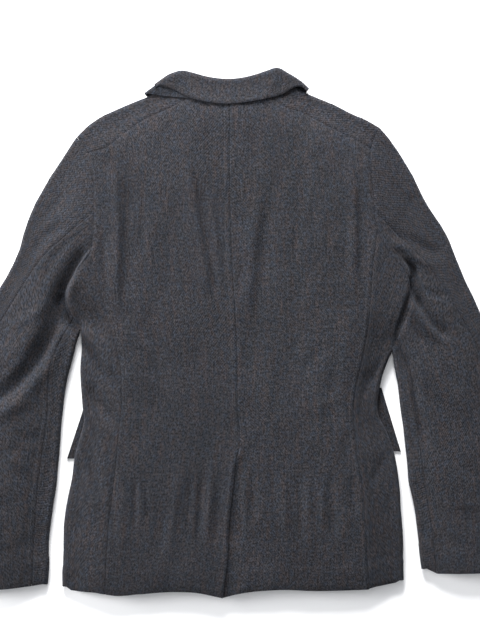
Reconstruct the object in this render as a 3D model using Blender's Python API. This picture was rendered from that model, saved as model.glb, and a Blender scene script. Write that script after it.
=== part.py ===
"""A man's wool blazer, lying face down with its sleeves beside it.

Lengths are in millimetres, in a plan seen from above: +X to the right, +Y towards the collar,
+Z up from the table. Each cloth piece is a thin wall built on a grid of plan points, with one
height for the upper layer, one for the lower layer, and a half ellipse round each fold.
"""

import math

import bpy
import numpy as np

# Walls, gaps and heights
WALL = 2.0
COLLAR_WALL = 1.5
LAPEL_WALL = 1.8
SEAM_HALF = 0.25
LAYER_GAP = 0.3
VENT_GAP = 1.0
FOLD_REACH = 6.0
RIM_HEIGHT = 12.0
CROWN = 9.0
CROWN_REACH = 36.0
HEM_DROP = 4.5
HEM_REACH = 38.0
RIM_STEPS = 6
FALL_LIFT = 0.7
ROLL_DEPTH = 10.0
CENTRE_LIFT = 4.3
FLAP_LIFT = 2.7
FLAP_WALL = 1.8
BUTTON = {"radius": 10.0, "thick": 4.0}

# How many rows and columns each stretch of seam has
N_HEM_BACK = 15
N_SIDE_TOP = 5
N_UNDERARM = 3
N_SIDE_LOW = 14
N_VENT = 7
N_CAP_LOW = 3
N_CAP_HIGH = 3
N_CAP_FRONT = 2
N_SHOULDER = 10
N_NECK = 5
N_SLEEVE = 15
N_FLOOR_CAP = 5
FINE = 3

# Curves measured on the photograph, as plan points x, y
LEFT = {
    "side": -1,
    "armhole": [(-224, 281), (-212, 267), (-207, 257), (-201, 233), (-198, 210), (-198, 180),
                (-199, 144), (-205, 110), (-215, 98), (-230, 78), (-238, 51), (-235, 35),
                (-228, 21), (-221, 11), (-218, 3)],
    "seam_end": (-207, 257), "hindarm_end": (-198, 171), "side_end": (-205, 110),
    "hook": (-238, 51), "forearm_end": (-228, 21),
    "floor_armhole": [(-224, 281), (-211, 262), (-201, 225), (-196, 180), (-192, 120)],
    "floor_turn": (-192, 120), "floor_side": (-194, 50),
    "cap_way": (-0.62, 0.78), "crotch_way": (-0.1, -0.995),
    "side_seam": [(-205, 110), (-201, 98), (-192, 75), (-184, 47), (-179, 25), (-173, 4),
                  (-165, -25), (-159, -52), (-158, -76), (-158, -103), (-162, -139), (-165, -175),
                  (-169, -211), (-175, -261), (-179, -311), (-182, -374)],
    "side_fold": [(-218, 3), (-217, -25), (-218, -52), (-217, -76), (-215, -103), (-213, -126),
                  (-219, -149), (-226, -179), (-231, -211), (-237, -240), (-241, -266),
                  (-243, -311), (-244, -364)],
    "floor_seam": [(-194, 50), (-186, 0), (-178, -60), (-176, -126), (-180, -200), (-185, -290),
                   (-186, -373)],
    "sleeve_outer": [(-224, 281), (-252, 238), (-282, 188), (-297, 151), (-308, 114), (-332, 67),
                     (-361, 11), (-387, -46), (-404, -96), (-415, -153), (-420, -211),
                     (-418, -268), (-414, -325), (-410, -368)],
    "sleeve_inner": [(-218, 3), (-227, -27), (-234, -55), (-240, -85), (-244, -118), (-247, -150),
                     (-252, -211), (-257, -246), (-262, -282), (-264, -334), (-266, -361)],
    "hindarm": [(-198, 171), (-228, 147), (-275, 104), (-304, 61), (-333, 14), (-355, -20),
                (-373, -50), (-389, -96), (-401, -153), (-406, -211), (-404, -268), (-400, -325),
                (-396, -368)],
    "forearm": [(-228, 21), (-243, -5), (-255, -30), (-261, -49), (-264, -85), (-265, -121),
                (-272, -168), (-278, -215), (-282, -265), (-285, -311), (-288, -363)],
    "cuff_mid": (-345, -368),
    "hem_side": [(-233, -369), (-215, -371), (-197, -372), (-182, -374)],
    "hem_back": [(-182, -374), (-168, -376), (-135, -374), (-97, -371), (-51, -372), (-14, -379.5)],
    "shoulder_fold": [(-224, 281), (-211, 294), (-190, 308), (-161, 322), (-142, 330),
                      (-129, 335), (-111, 343), (-97, 349), (-84, 354)],
    "shoulder_seam": [(-207, 257), (-179, 266), (-157, 284), (-128, 304), (-75, 330), (-61, 341)],
    "neck": [(-61, 341), (-32, 336), (-4, 334)],
    "front_edge": [(18, -372), (18, -200), (18, 20), (8, 90), (-20, 180), (-50, 260), (-76, 346)],
    "lapel_outer": [(16, 30), (-20, 70), (-60, 130), (-95, 195), (-122, 255)],
    "lapel_roll": [(18, 34), (8, 90), (-18, 170), (-42, 235), (-62, 288)],
    "flap": [(-213, -105), (-84, -112), (-92, -184), (-238, -181)],
}
RIGHT = {
    "side": 1,
    "armhole": [(211, 294), (202, 278), (198, 263), (197, 241), (201, 201), (203, 173), (207, 145),
                (219, 120), (235, 101), (248, 85), (255, 70), (256, 50), (251, 30), (240, 3),
                (233, -13), (229, -27)],
    "seam_end": (198, 263), "hindarm_end": (203, 173), "side_end": (207, 145),
    "hook": (255, 70), "forearm_end": (240, 3),
    "floor_armhole": [(211, 294), (202, 270), (196, 235), (194, 190), (197, 125)],
    "floor_turn": (197, 125), "floor_side": (207, 45),
    "cap_way": (0.66, 0.75), "crotch_way": (0.05, -0.999),
    "side_seam": [(207, 145), (204, 125), (200, 97), (198, 60), (197, 47), (193, 4), (188, -25),
                  (182, -52), (177, -76), (173, -103), (174, -139), (178, -175), (184, -211),
                  (189, -261), (192, -311), (195, -367)],
    "side_fold": [(229, -27), (222, -42), (217, -55), (212, -76), (208, -100), (209, -118),
                  (219, -139), (231, -171), (238, -211), (242, -261), (245, -311), (245, -355)],
    "floor_seam": [(207, 45), (196, 0), (182, -50), (172, -110), (180, -180), (190, -280),
                   (193, -364)],
    "sleeve_outer": [(211, 294), (228, 274), (257, 226), (278, 186), (307, 140), (322, 103),
                     (335, 74), (354, 31), (371, -10), (390, -60), (404, -110), (414, -168),
                     (420, -225), (421, -282), (418, -342)],
    "sleeve_inner": [(229, -27), (232, -48), (237, -76), (243, -125), (250, -183), (253, -211),
                     (258, -240), (264, -277), (269, -319), (272, -339)],
    "hindarm": [(203, 173), (232, 144), (275, 101), (304, 61), (332, 14), (354, -25), (377, -62),
                (391, -110), (401, -168), (407, -225), (408, -282), (405, -342)],
    "forearm": [(240, 3), (246, -15), (252, -40), (258, -76), (264, -125), (271, -183),
                (279, -240), (285, -277), (290, -319), (293, -345)],
    "cuff_mid": (345, -344),
    "hem_side": [(235, -358), (219, -361), (207, -363), (195, -366)],
    "hem_back": [(195, -367), (129, -369), (54, -368), (11, -373), (-14, -379.5)],
    "shoulder_fold": [(211, 294), (199, 301), (184, 308), (161, 319), (134, 331), (108, 342),
                      (95, 349), (80, 356)],
    "shoulder_seam": [(198, 263), (168, 280), (139, 294), (104, 313), (64, 330), (54, 343)],
    "neck": [(54, 343), (28, 336), (-4, 334)],
    "front_edge": [(-22, -372), (-22, -200), (-22, 20), (-12, 90), (16, 180), (46, 260), (72, 347)],
    "lapel_outer": [(6, 134), (42, 141), (74, 168), (97, 208), (118, 255)],
    "lapel_roll": [(4, 135), (12, 162), (25, 198), (42, 244), (58, 288)],
    "flap": [(214, -79), (84, -90), (92, -163), (242, -171)],
}
CENTRE_SEAM = [(-14, -379.5), (-8, -332), (-4, -266), (2, -213), (5, -182), (8, -172), (7, -103),
               (6, -26), (4, 21), (1, 70), (-1, 104), (-4, 213), (-4, 334)]
VENT_TOP = (7.5, -170)

# The collar, from its left end to its right end
COLLAR_OUTLINE = [(-129, 344), (-111, 357), (-88, 372), (-72, 376), (-58, 373), (-41, 368),
                  (2, 364), (36, 371), (50, 376), (63, 380), (82, 371), (99, 360), (110, 350)]
UNDER_EDGE = [(-126, 342), (-112, 341), (-99, 339), (-68, 336), (-45, 333), (-5, 330), (30, 334),
              (66, 343), (86, 350), (97, 355), (106, 350)]
TOP_EDGE = [(-111, 354), (-88, 349), (-61, 336), (-37, 330), (-5, 327), (30, 331), (69, 340),
            (97, 352), (108, 348)]
COLLAR_INNER = [(-104, 314), (-92, 318), (-80, 324), (-71, 330), (-60, 345), (-40, 340),
                (0, 335.5), (36, 340.5), (53, 347), (64, 334), (74, 328), (84, 321), (92, 316)]
COLLAR_STEPS = 30

# Folds of the upper layer: start x, y, end x, y, sideways bow, half width, height
FOLDS = [
    ("blade_head", -189, 250, -151, 216, 0, 11, -4.5),
    ("blade", -151, 221, -157, 35, 0, 10, -6.5),
    ("blade_tail", -157, 40, -85, -42, 0, 12, -4),
    ("blade_ridge", -171, 211, -171, 61, 0, 8, 3.5),
    ("blade_inner", -181, 168, -175, 58, 0, 7, -3.5),
    ("diagonal", -52, 247, -22, 40, 0, 10, -5),
    ("diagonal_ridge", -72, 190, -41, 75, 0, 10, 3.5),
    ("centre_ridge", -28, 197, -9, 47, 0, 9, 2),
    ("right_of_centre", 54, 221, 36, 40, 0, 12, -4.5),
    ("right_blade", 179, 190, 182, 83, 0, 9, -3.5),
    ("underarm_ridge", -226, 47, -171, -75, 0, 9, 5),
    ("underarm_valley", -205, -8, -187, -48, 0, 8, -4),
    ("side_valley", -185, 21, -161, -42, 0, 9, -3.5),
    ("waist_left", -195, -85, -169, -142, 0, 11, -3.5),
    ("hip_left", -207, -168, -184, -246, 0, 10, -3.5),
    ("vent_valley", -42, -196, -46, -342, 0, 8, -3.5),
    ("vent_ridge", -26, -208, -31, -304, 0, 8, 3),
    ("skirt_left", -61, -256, -89, -314, 0, 9, -2.5),
    ("skirt_far_left", -128, -185, -128, -275, 0, 9, -2.5),
    ("skirt_ridge_right", 25, -193, 27, -332, 0, 8, 3),
    ("skirt_right", 44, -165, 51, -271, 0, 9, -3),
    ("skirt_right_ridge", 77, -193, 79, -289, 0, 9, 2.5),
    ("skirt_right_two", 98, -193, 99, -285, 0, 9, -2.5),
    ("skirt_right_three", 134, -165, 131, -261, 0, 9, -2.5),
    ("left_step_high", -250, 62, -266, -10, 6, 10, 5),
    ("left_step_low", -240, 20, -254, -32, 4, 8, -5),
    ("left_elbow_high", -266, -6, -342, -86, -6, 11, 5),
    ("left_elbow_low", -260, -40, -326, -112, -6, 10, -4.5),
    ("left_cap", -226, 240, -262, 180, 0, 12, -3),
    ("right_crook", 262, 72, 301, 4, -10, 10, -6),
    ("right_inner", 246, 2, 278, -139, 4, 9, -4.5),
    ("right_long", 258, 30, 350, -143, 10, 10, -5),
    ("right_cap", 236, 150, 312, 120, 0, 11, -3.5),
    ("right_elbow", 322, -232, 352, -292, 0, 11, -3.5),
]


def fine_line(points, per=14):
    """A smooth line through the points, as many short steps."""
    p = np.array(points, float)
    steps = np.r_[0, np.cumsum(np.hypot(*np.diff(p, axis=0).T))]
    slope = np.gradient(p, steps, axis=0)
    out = []
    for i in range(len(p) - 1):
        h = steps[i + 1] - steps[i]
        t = np.linspace(0, 1, per, endpoint=False)[:, None]
        out.append((2 * t**3 - 3 * t**2 + 1) * p[i] + (t**3 - 2 * t**2 + t) * h * slope[i]
                   + (3 * t**2 - 2 * t**3) * p[i + 1] + (t**3 - t**2) * h * slope[i + 1])
    return np.vstack(out + [p[-1:]])


def nearest(line, point):
    return int(np.argmin(np.hypot(*(line - np.array(point)).T)))


def stations(line, count):
    """count steps of equal length along a line."""
    run = np.r_[0, np.cumsum(np.hypot(*np.diff(line, axis=0).T))]
    at = np.linspace(0, run[-1], count + 1)
    return np.stack([np.interp(at, run, line[:, k]) for k in range(2)], axis=1)


def stretches(line, marks, counts):
    """The line cut at the marks, each stretch in its own count of steps, as one list of arrays."""
    cuts = [0] + [nearest(line, mark) for mark in marks] + [len(line) - 1]
    return [stations(line[a:b + 1], n) for a, b, n in zip(cuts[:-1], cuts[1:], counts)]


def refined(points, by):
    """Each chord cut into equal parts, so that a finer neighbour keeps the same line."""
    at = np.linspace(0, len(points) - 1, (len(points) - 1) * by + 1)
    return np.stack([np.interp(at, np.arange(len(points)), points[:, k]) for k in range(2)], axis=1)


def chain(*parts):
    return np.vstack([parts[0]] + [part[1:] for part in parts[1:]])


def left_normals(points):
    """Unit normals on the left of a line, each the mean of its two steps."""
    step = np.diff(points, axis=0)
    step /= np.hypot(step[:, 0], step[:, 1])[:, None]
    mean = np.vstack([step[:1], step[:-1] + step[1:], step[-1:]])
    mean /= np.hypot(mean[:, 0], mean[:, 1])[:, None]
    return np.stack([-mean[:, 1], mean[:, 0]], axis=1)


def patch(start, end, first, last, gaps=(0, 0, 0, 0)):
    """A grid between four lines. Rows run from start to end, columns from first to last.

    gaps pull each line inwards, so that seams between pieces stay open.
    """
    sides = [np.array(line, float) for line in (start, end, first, last)]
    loop = np.vstack([sides[0], sides[3][1:], sides[1][::-1][1:], sides[2][::-1][1:]])
    area = 0.5 * np.sum(loop[:, 0] * np.roll(loop[:, 1], -1) - loop[:, 1] * np.roll(loop[:, 0], -1))
    turn = 1 if area > 0 else -1
    way = (turn, -turn, -turn, turn)
    move = [left_normals(line) * w * (np.ones(len(line)) * g)[:, None]
            for line, w, g in zip(sides, way, gaps)]
    for a, i, b, j in ((0, 0, 2, 0), (0, -1, 3, 0), (1, 0, 2, -1), (1, -1, 3, -1)):
        both = move[a][i] + move[b][j]
        move[a][i] = both
        move[b][j] = both
    s, e, f, l = (line + m for line, m in zip(sides, move))
    v = np.linspace(0, 1, len(f))[:, None, None]
    u = np.linspace(0, 1, len(s))[None, :, None]
    across = (1 - u) * f[:, None] + u * l[:, None]
    along = (1 - v) * s[None] + v * e[None]
    corners = (1 - v) * ((1 - u) * s[0] + u * s[-1]) + v * ((1 - u) * e[0] + u * e[-1])
    return across + along - corners


def ease(x):
    x = np.clip(x, 0, 1)
    return x * x * (3 - 2 * x)


def distance_to(line, xy, ends=False):
    """Distance of each plan point to a line, and how far along the line its foot lies."""
    best = np.full(len(xy), 1e9)
    along = np.zeros(len(xy))
    for i in range(len(line) - 1):
        a = line[i]
        d = line[i + 1] - a
        t = np.clip(((xy - a) @ d) / (d @ d + 1e-12), 0, 1)
        gap = np.hypot(*(xy - a - t[:, None] * d).T)
        near = gap < best
        best = np.where(near, gap, best)
        along = np.where(near, (i + t) / (len(line) - 1), along)
    return best, along


OUTLINES = [stations(fine_line(table[key]), 26)
            for table in (LEFT, RIGHT)
            for key in ("sleeve_outer", "sleeve_inner", "side_fold", "shoulder_fold")]
OUTLINES.append(stations(fine_line(COLLAR_OUTLINE), 26))


def bent(x0, y0, x1, y1, bow):
    """A gently bowed line between two points."""
    t = np.linspace(0, 1, 9)[:, None]
    a, b = np.array((x0, y0), float), np.array((x1, y1), float)
    side = np.array((-(b - a)[1], (b - a)[0])) / np.hypot(*(b - a))
    return a + (b - a) * t + side * bow * 4 * t * (1 - t)


FOLD_LINES = [(bent(*row[1:6]), row[6], row[7]) for row in FOLDS]


def top_height(xy):
    """Height of the upper layer's outside at each plan point."""
    flat = np.asarray(xy, float).reshape(-1, 2)
    edge = np.full(len(flat), 1e9)
    for line in OUTLINES:
        edge = np.minimum(edge, distance_to(line, flat)[0])
    rise = 1 - np.exp(-(np.maximum(edge - FOLD_REACH, 0) / CROWN_REACH) ** 2)
    z = RIM_HEIGHT + CROWN * rise - HEM_DROP * np.exp(-np.maximum(flat[:, 1] + 372, 0) / HEM_REACH)
    calm = ease((edge - FOLD_REACH) / 10)
    for line, width, height in FOLD_LINES:
        near = (np.abs(flat - line.mean(axis=0)) < np.ptp(line, axis=0) / 2 + 3 * width).all(axis=1)
        if near.any():
            gap, along = distance_to(line, flat[near])
            fade = ease(along / 0.25) * ease((1 - along) / 0.25) * 0.75 + 0.25
            z[near] += height * fade * np.exp(-(gap / width) ** 2) * calm[near]
    return z.reshape(np.shape(xy)[:-1])


def low_height(xy, side):
    """Height of the lower layer's outside: on the table, and over what lies under it."""
    x, y = xy[..., 0], xy[..., 1]
    reach = np.interp(y, [-400, 40, 180, 290, 360], [58, 62, 130, 172, 182])
    centre = CENTRE_LIFT * ease((reach + 30 - np.abs(x)) / 30)
    flap = FLAP_LIFT * ease((y + 262) / 30) * ease((-24 - y) / 30)
    z = np.maximum(centre, flap)
    if side > 0:
        z = z + (WALL + 0.5) * ease((92 - x) / 34) * ease((205 - y) / 40)
    return z


def surface(height, xy, up=1, drop=0):
    """Points and unit normals of a height over plan points."""
    step = 3.0
    dx = (height(xy + (step, 0)) - height(xy - (step, 0))) / (2 * step)
    dy = (height(xy + (0, step)) - height(xy - (0, step))) / (2 * step)
    normal = np.stack([-dx * up, -dy * up, np.full(dx.shape, float(up))], axis=-1)
    normal /= np.linalg.norm(normal, axis=-1)[..., None]
    points = np.concatenate([xy, height(xy)[..., None]], axis=-1)
    return points - normal * drop, normal


def rim(high_xy, low_xy, way, high_z, low_z, reach=FOLD_REACH, steps=RIM_STEPS):
    """Half an ellipse round a fold, without its two ends: shape (steps - 1, n, 3)."""
    points, normals = [], []
    half = (high_z - low_z) / 2
    for k in range(1, steps):
        angle = math.pi / 2 - math.pi * k / steps
        share = (1 - math.sin(angle)) / 2
        xy = high_xy * (1 - share) + low_xy * share + way * reach * math.cos(angle)
        z = (high_z + low_z) / 2 + half * math.sin(angle)
        normal = np.concatenate([way * (half * math.cos(angle))[:, None],
                                 np.full((len(xy), 1), reach * math.sin(angle))], axis=1)
        normals.append(normal / np.linalg.norm(normal, axis=1)[:, None])
        points.append(np.concatenate([xy, z[:, None]], axis=1))
    return np.array(points), np.array(normals)


def outward(line, inside):
    """Unit normals of a fold line that point away from a plan point."""
    normal = left_normals(line)
    middle = len(line) // 2
    if normal[middle] @ (line[middle] - np.array(inside)) < 0:
        normal = -normal
    return normal


def eased_ways(way, first=None):
    """Fold directions whose first one is given, as at the end of an armhole."""
    way = way.copy()
    if first is not None:
        way[0] = np.array(first) / np.hypot(*first)
    return way


def cloth(name, points, normals, wall, colour, mask=None):
    """One closed wall of cloth on a grid of outside points. mask picks the grid's cells."""
    rows, columns = points.shape[:2]
    mask = np.ones((rows - 1, columns - 1), bool) if mask is None else mask
    outer = points.reshape(-1, 3)
    inner = outer - normals.reshape(-1, 3) * wall
    index = np.arange(rows * columns).reshape(rows, columns)
    faces = []
    edges = {}
    for r, c in zip(*np.nonzero(mask)):
        quad = (index[r, c], index[r, c + 1], index[r + 1, c + 1], index[r + 1, c])
        faces.append(quad)
        for k in range(4):
            edges[(quad[k], quad[(k + 1) % 4])] = True
    total = rows * columns
    cells = np.array(faces)
    cross = np.cross(outer[cells[:, 2]] - outer[cells[:, 0]], outer[cells[:, 3]] - outer[cells[:, 1]])
    facing = (cross * normals.reshape(-1, 3)[cells[:, 0]]).sum(axis=1)
    flip = facing.sum() < 0
    shell = [tuple(quad) for quad in faces]
    shell += [tuple(total + i for i in reversed(quad)) for quad in faces]
    shell += [(b, a, total + a, total + b) for a, b in edges if (b, a) not in edges]
    if flip:
        shell = [tuple(reversed(face)) for face in shell]
    used = np.zeros(2 * total, bool)
    used[[i for face in shell for i in face]] = True
    number = np.cumsum(used) - 1
    vertices = np.vstack([outer, inner])[used]
    solid(name, vertices, [tuple(int(number[i]) for i in face) for face in shell], colour)


def solid(name, vertices, faces, colour):
    mesh = bpy.data.meshes.new(name)
    mesh.from_pydata([tuple(v * 0.001) for v in vertices], [], faces)
    mesh.update()
    mesh.shade_smooth()
    mesh.set_sharp_from_angle(angle=math.radians(50))
    material = bpy.data.materials.new(name)
    material.use_nodes = True
    shader = material.node_tree.nodes["Principled BSDF"]
    shader.inputs["Base Color"].default_value = (*colour, 1)
    shader.inputs["Roughness"].default_value = 0.9
    shader.inputs["Metallic"].default_value = 0.0
    mesh.materials.append(material)
    made = bpy.data.objects.new(name, mesh)
    bpy.context.scene.collection.objects.link(made)
    PIECES.append(made)


WOOL = (0.028, 0.026, 0.036)
WOOL_UNDER = (0.022, 0.021, 0.03)
HORN = (0.02, 0.018, 0.017)
PIECES = []


def seams_of(t):
    """Every seam and fold that two pieces share, as plan points."""
    armhole = fine_line(t["armhole"])
    cap = np.array(t["cap_way"]) / np.hypot(*t["cap_way"])
    crotch = np.array(t["crotch_way"]) / np.hypot(*t["crotch_way"])
    # The armhole starts and ends where its folds begin.
    armhole = armhole[(armhole - armhole[0]) @ -cap > FOLD_REACH - 0.01]
    top = np.array(t["armhole"][0]) - cap * FOLD_REACH
    low = np.array(t["armhole"][-1]) - crotch * FOLD_REACH
    near_end = np.arange(len(armhole)) > nearest(armhole, t["forearm_end"])
    armhole = armhole[~(near_end & ((armhole - armhole[-1]) @ -crotch < FOLD_REACH))]
    armhole = np.vstack([top, armhole, low])
    names = ("cap_front", "cap_high", "cap_low", "side_top", "underarm", "tip")
    marks = [t[k] for k in ("seam_end", "hindarm_end", "side_end", "hook", "forearm_end")]
    counts = (N_CAP_FRONT, N_CAP_HIGH, N_CAP_LOW, N_SIDE_TOP, N_UNDERARM, 1)
    s = dict(zip(names, stretches(armhole, marks, counts)))
    floor = fine_line(t["floor_armhole"])
    floor = np.vstack([top, floor[(floor - floor[0]) @ -cap > FOLD_REACH]])
    s["floor_cap"] = stations(floor, N_FLOOR_CAP)
    s["floor_low"] = np.array([t["floor_turn"], t["floor_side"], low], float)
    s["side_seam"] = stations(fine_line(t["side_seam"]), N_UNDERARM + 1 + N_SIDE_LOW)
    s["floor_seam"] = stations(fine_line(t["floor_seam"]), N_SIDE_LOW // 2)
    inside = (t["side"] * 150, -100)
    for key, count, first, centre in (
        ("side_fold", N_SIDE_LOW, crotch, inside),
        ("sleeve_inner", N_SLEEVE, crotch, (t["side"] * 345, -180)),
        ("shoulder_fold", N_SHOULDER, cap, (t["side"] * 120, 200)),
    ):
        line = stations(fine_line(t[key]), count)
        way = eased_ways(outward(line, centre), first)
        s[key + "_way"] = way
        s[key] = line - way * FOLD_REACH
    outer = fine_line(t["sleeve_outer"])
    split = nearest(outer, (t["side"] * 320, 100))
    line = chain(stations(outer[:split + 1], N_SIDE_TOP + N_UNDERARM), stations(outer[split:], N_SLEEVE))
    way = eased_ways(outward(line, (t["side"] * 300, -100)), cap)
    s["sleeve_outer_way"] = way
    s["sleeve_outer"] = line - way * FOLD_REACH
    s["hindarm"] = stations(fine_line(t["hindarm"]), N_SIDE_TOP + N_UNDERARM + N_SLEEVE)
    s["forearm"] = stations(fine_line(t["forearm"]), N_SLEEVE)
    s["shoulder_seam"] = stations(fine_line(t["shoulder_seam"]), N_SHOULDER)
    s["neck"] = stations(fine_line(t["neck"]), N_NECK)
    centre = fine_line(CENTRE_SEAM)
    low_part, high_part = stretches(centre, [VENT_TOP], (N_VENT, 17))
    s["centre"] = chain(low_part, high_part)
    return s


def back_grid(t, s):
    first = chain(s["side_seam"][::-1], s["cap_low"][::-1], s["cap_high"][::-1])
    start = stations(fine_line(t["hem_back"]), N_HEM_BACK)
    start[0] = first[0]
    start[-1] = s["centre"][0]
    end = chain(s["shoulder_seam"], s["neck"])
    return patch(start, end, first, s["centre"], (0, SEAM_HALF, SEAM_HALF, SEAM_HALF))


def make_backs(seams):
    left = back_grid(LEFT, seams[0])
    right = back_grid(RIGHT, seams[1])
    points, normals = surface(top_height, left)
    cloth("back_left", points, normals, WALL, WOOL)
    lap = 4
    drop = np.zeros(right.shape[:2])
    for c, share in ((-1, 1.0), (-2, 0.6), (-3, 0.25)):
        drop[:N_VENT, c] = share
    right[:N_VENT, -1] = left[:N_VENT, -1]
    r_points, r_normals = surface(top_height, right)
    r_points[..., 2] -= drop * (WALL + VENT_GAP)
    under = points[:, -2:-2 - lap:-1] - normals[:, -2:-2 - lap:-1] * (WALL + VENT_GAP)
    r_points[:N_VENT, -1] = points[:N_VENT, -1] - normals[:N_VENT, -1] * (WALL + VENT_GAP)
    r_normals[:N_VENT, -1] = normals[:N_VENT, -1]
    grid = np.concatenate([r_points, under], axis=1)
    grid_normals = np.concatenate([r_normals, normals[:, -2:-2 - lap:-1]], axis=1)
    mask = np.ones((grid.shape[0] - 1, grid.shape[1] - 1), bool)
    mask[N_VENT - 1:, -lap:] = False
    cloth("back_right", grid, grid_normals, WALL, WOOL, mask)


def make_side(t, s, name):
    """Side body: the upper part, round the fold, and a strip on the table side."""
    turn = N_UNDERARM + 1
    first = chain(s["underarm"], s["tip"], s["side_fold"])
    last = s["side_seam"]
    hem = stations(fine_line(t["hem_side"]), N_SIDE_TOP)
    hem[0], hem[-1] = first[-1], last[-1]
    gap = np.where(np.arange(len(first)) <= turn, SEAM_HALF, 0)
    upper = patch(s["side_top"][::-1], hem, first, last, (SEAM_HALF, 0, gap, SEAM_HALF))
    floor_start = refined(s["floor_low"][1:][::-1], 4)
    floor_first = s["side_fold"]
    floor_last = refined(s["floor_seam"], 2)
    floor_hem = refined(np.array([floor_first[-1], floor_last[-1]]), 4)
    lower = patch(floor_start, floor_hem, floor_first, floor_last, (SEAM_HALF, 0, 0, SEAM_HALF))
    high, high_n = surface(top_height, upper)
    low, low_n = surface(lambda xy: low_height(xy, t["side"]), lower, up=-1)
    bend, bend_n = rim(upper[turn:, 0], lower[:, 0], s["side_fold_way"], high[turn:, 0, 2], low[:, 0, 2])
    rows, wide = upper.shape[0], N_SIDE_TOP + 1 + RIM_STEPS - 1 + 5
    grid = np.zeros((rows, wide, 3))
    normal = np.zeros((rows, wide, 3))
    normal[..., 2] = 1
    grid[:, :N_SIDE_TOP + 1] = high[:, ::-1]
    normal[:, :N_SIDE_TOP + 1] = high_n[:, ::-1]
    at = N_SIDE_TOP + 1
    grid[turn:, at:at + RIM_STEPS - 1] = bend.transpose(1, 0, 2)
    normal[turn:, at:at + RIM_STEPS - 1] = bend_n.transpose(1, 0, 2)
    grid[turn:, at + RIM_STEPS - 1:] = low
    normal[turn:, at + RIM_STEPS - 1:] = low_n
    mask = np.ones((rows - 1, wide - 1), bool)
    mask[:turn, N_SIDE_TOP:] = False
    cloth(name, grid, normal, WALL, WOOL, mask)


def make_front(t, s, name):
    """Front: on the table, round the shoulder fold, and up to the shoulder seam."""
    first = chain(s["floor_seam"][::-1], s["floor_low"][:2][::-1], s["floor_cap"][::-1])
    last = stations(fine_line(t["front_edge"]), len(first) - 1)
    end = s["shoulder_fold"]
    last[-1] = end[-1]
    start = refined(np.array([first[0], last[0]]), N_SHOULDER)
    lower = patch(start, end, first, last, (0, 0, SEAM_HALF, 0))
    upper = patch(end, s["shoulder_seam"], s["cap_front"],
                  refined(np.array([end[-1], s["shoulder_seam"][-1]]), N_CAP_FRONT),
                  (0, SEAM_HALF, SEAM_HALF, 0))
    high, high_n = surface(top_height, upper)
    low, low_n = surface(lambda xy: low_height(xy, t["side"]), lower, up=-1)
    bend, bend_n = rim(upper[0], lower[-1], s["shoulder_fold_way"], high[0, :, 2], low[-1, :, 2])
    grid = np.concatenate([low, bend[::-1], high])
    normal = np.concatenate([low_n, bend_n[::-1], high_n])
    cloth(name, grid, normal, WALL, WOOL)


def make_sleeve(t, s, side_name):
    rows_cap = N_SIDE_TOP + N_UNDERARM
    # The strip that shows between the two sleeve seams
    start = chain(refined(s["cap_low"], FINE))
    first = s["hindarm"]
    last = chain(s["side_top"], s["underarm"], s["forearm"])
    cuff = stations(fine_line([first[-1], t["cuff_mid"], last[-1]]), N_CAP_LOW * FINE)
    under = patch(start, cuff, first, last, (SEAM_HALF, 0, SEAM_HALF, SEAM_HALF))
    points, normals = surface(top_height, under)
    cloth("under_sleeve_" + side_name, points, normals, WALL, WOOL_UNDER)
    # The top sleeve goes from the hindarm seam round both folds to the forearm seam
    outer, inner = s["sleeve_outer"], s["sleeve_inner"]
    cap = chain(s["cap_front"], s["cap_high"])
    wide = len(cap) - 1
    strip = patch(cap, refined(np.array([outer[-1], first[-1]]), wide), outer, first,
                  (SEAM_HALF, 0, 0, SEAM_HALF))[:, ::-1]
    low_last = chain(refined(s["floor_low"], 4), inner)
    gap = np.where(np.arange(len(low_last)) <= rows_cap, SEAM_HALF, 0)
    lower = patch(s["floor_cap"], refined(np.array([outer[-1], inner[-1]]), N_FLOOR_CAP), outer,
                  low_last, (SEAM_HALF, 0, 0, gap))
    tail = patch(refined(s["tip"], 2), refined(np.array([last[-1], inner[-1]]), 2), s["forearm"],
                 inner, (SEAM_HALF, 0, SEAM_HALF, 0))[:, ::-1]
    high, high_n = surface(top_height, strip)
    low, low_n = surface(lambda xy: 0 * xy[..., 0], lower, up=-1)
    end, end_n = surface(top_height, tail)
    a, a_n = rim(strip[:, -1], lower[:, 0], s["sleeve_outer_way"], high[:, -1, 2], low[:, 0, 2])
    b, b_n = rim(tail[:, 0], lower[rows_cap:, -1], s["sleeve_inner_way"], end[:, 0, 2],
                 low[rows_cap:, -1, 2])
    count = len(first)
    spare = RIM_STEPS - 1 + end.shape[1]
    grid = np.concatenate([high, a.transpose(1, 0, 2), low, np.zeros((count, spare, 3))], axis=1)
    normal = np.concatenate([high_n, a_n.transpose(1, 0, 2), low_n, np.ones((count, spare, 3))], axis=1)
    at = grid.shape[1] - spare
    grid[rows_cap:, at:at + RIM_STEPS - 1] = b[::-1].transpose(1, 0, 2)
    normal[rows_cap:, at:at + RIM_STEPS - 1] = b_n[::-1].transpose(1, 0, 2)
    grid[rows_cap:, at + RIM_STEPS - 1:] = end
    normal[rows_cap:, at + RIM_STEPS - 1:] = end_n
    mask = np.ones((count - 1, grid.shape[1] - 1), bool)
    mask[:rows_cap, at - 1:] = False
    cloth("top_sleeve_" + side_name, grid, normal, WALL, WOOL, mask)


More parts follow.
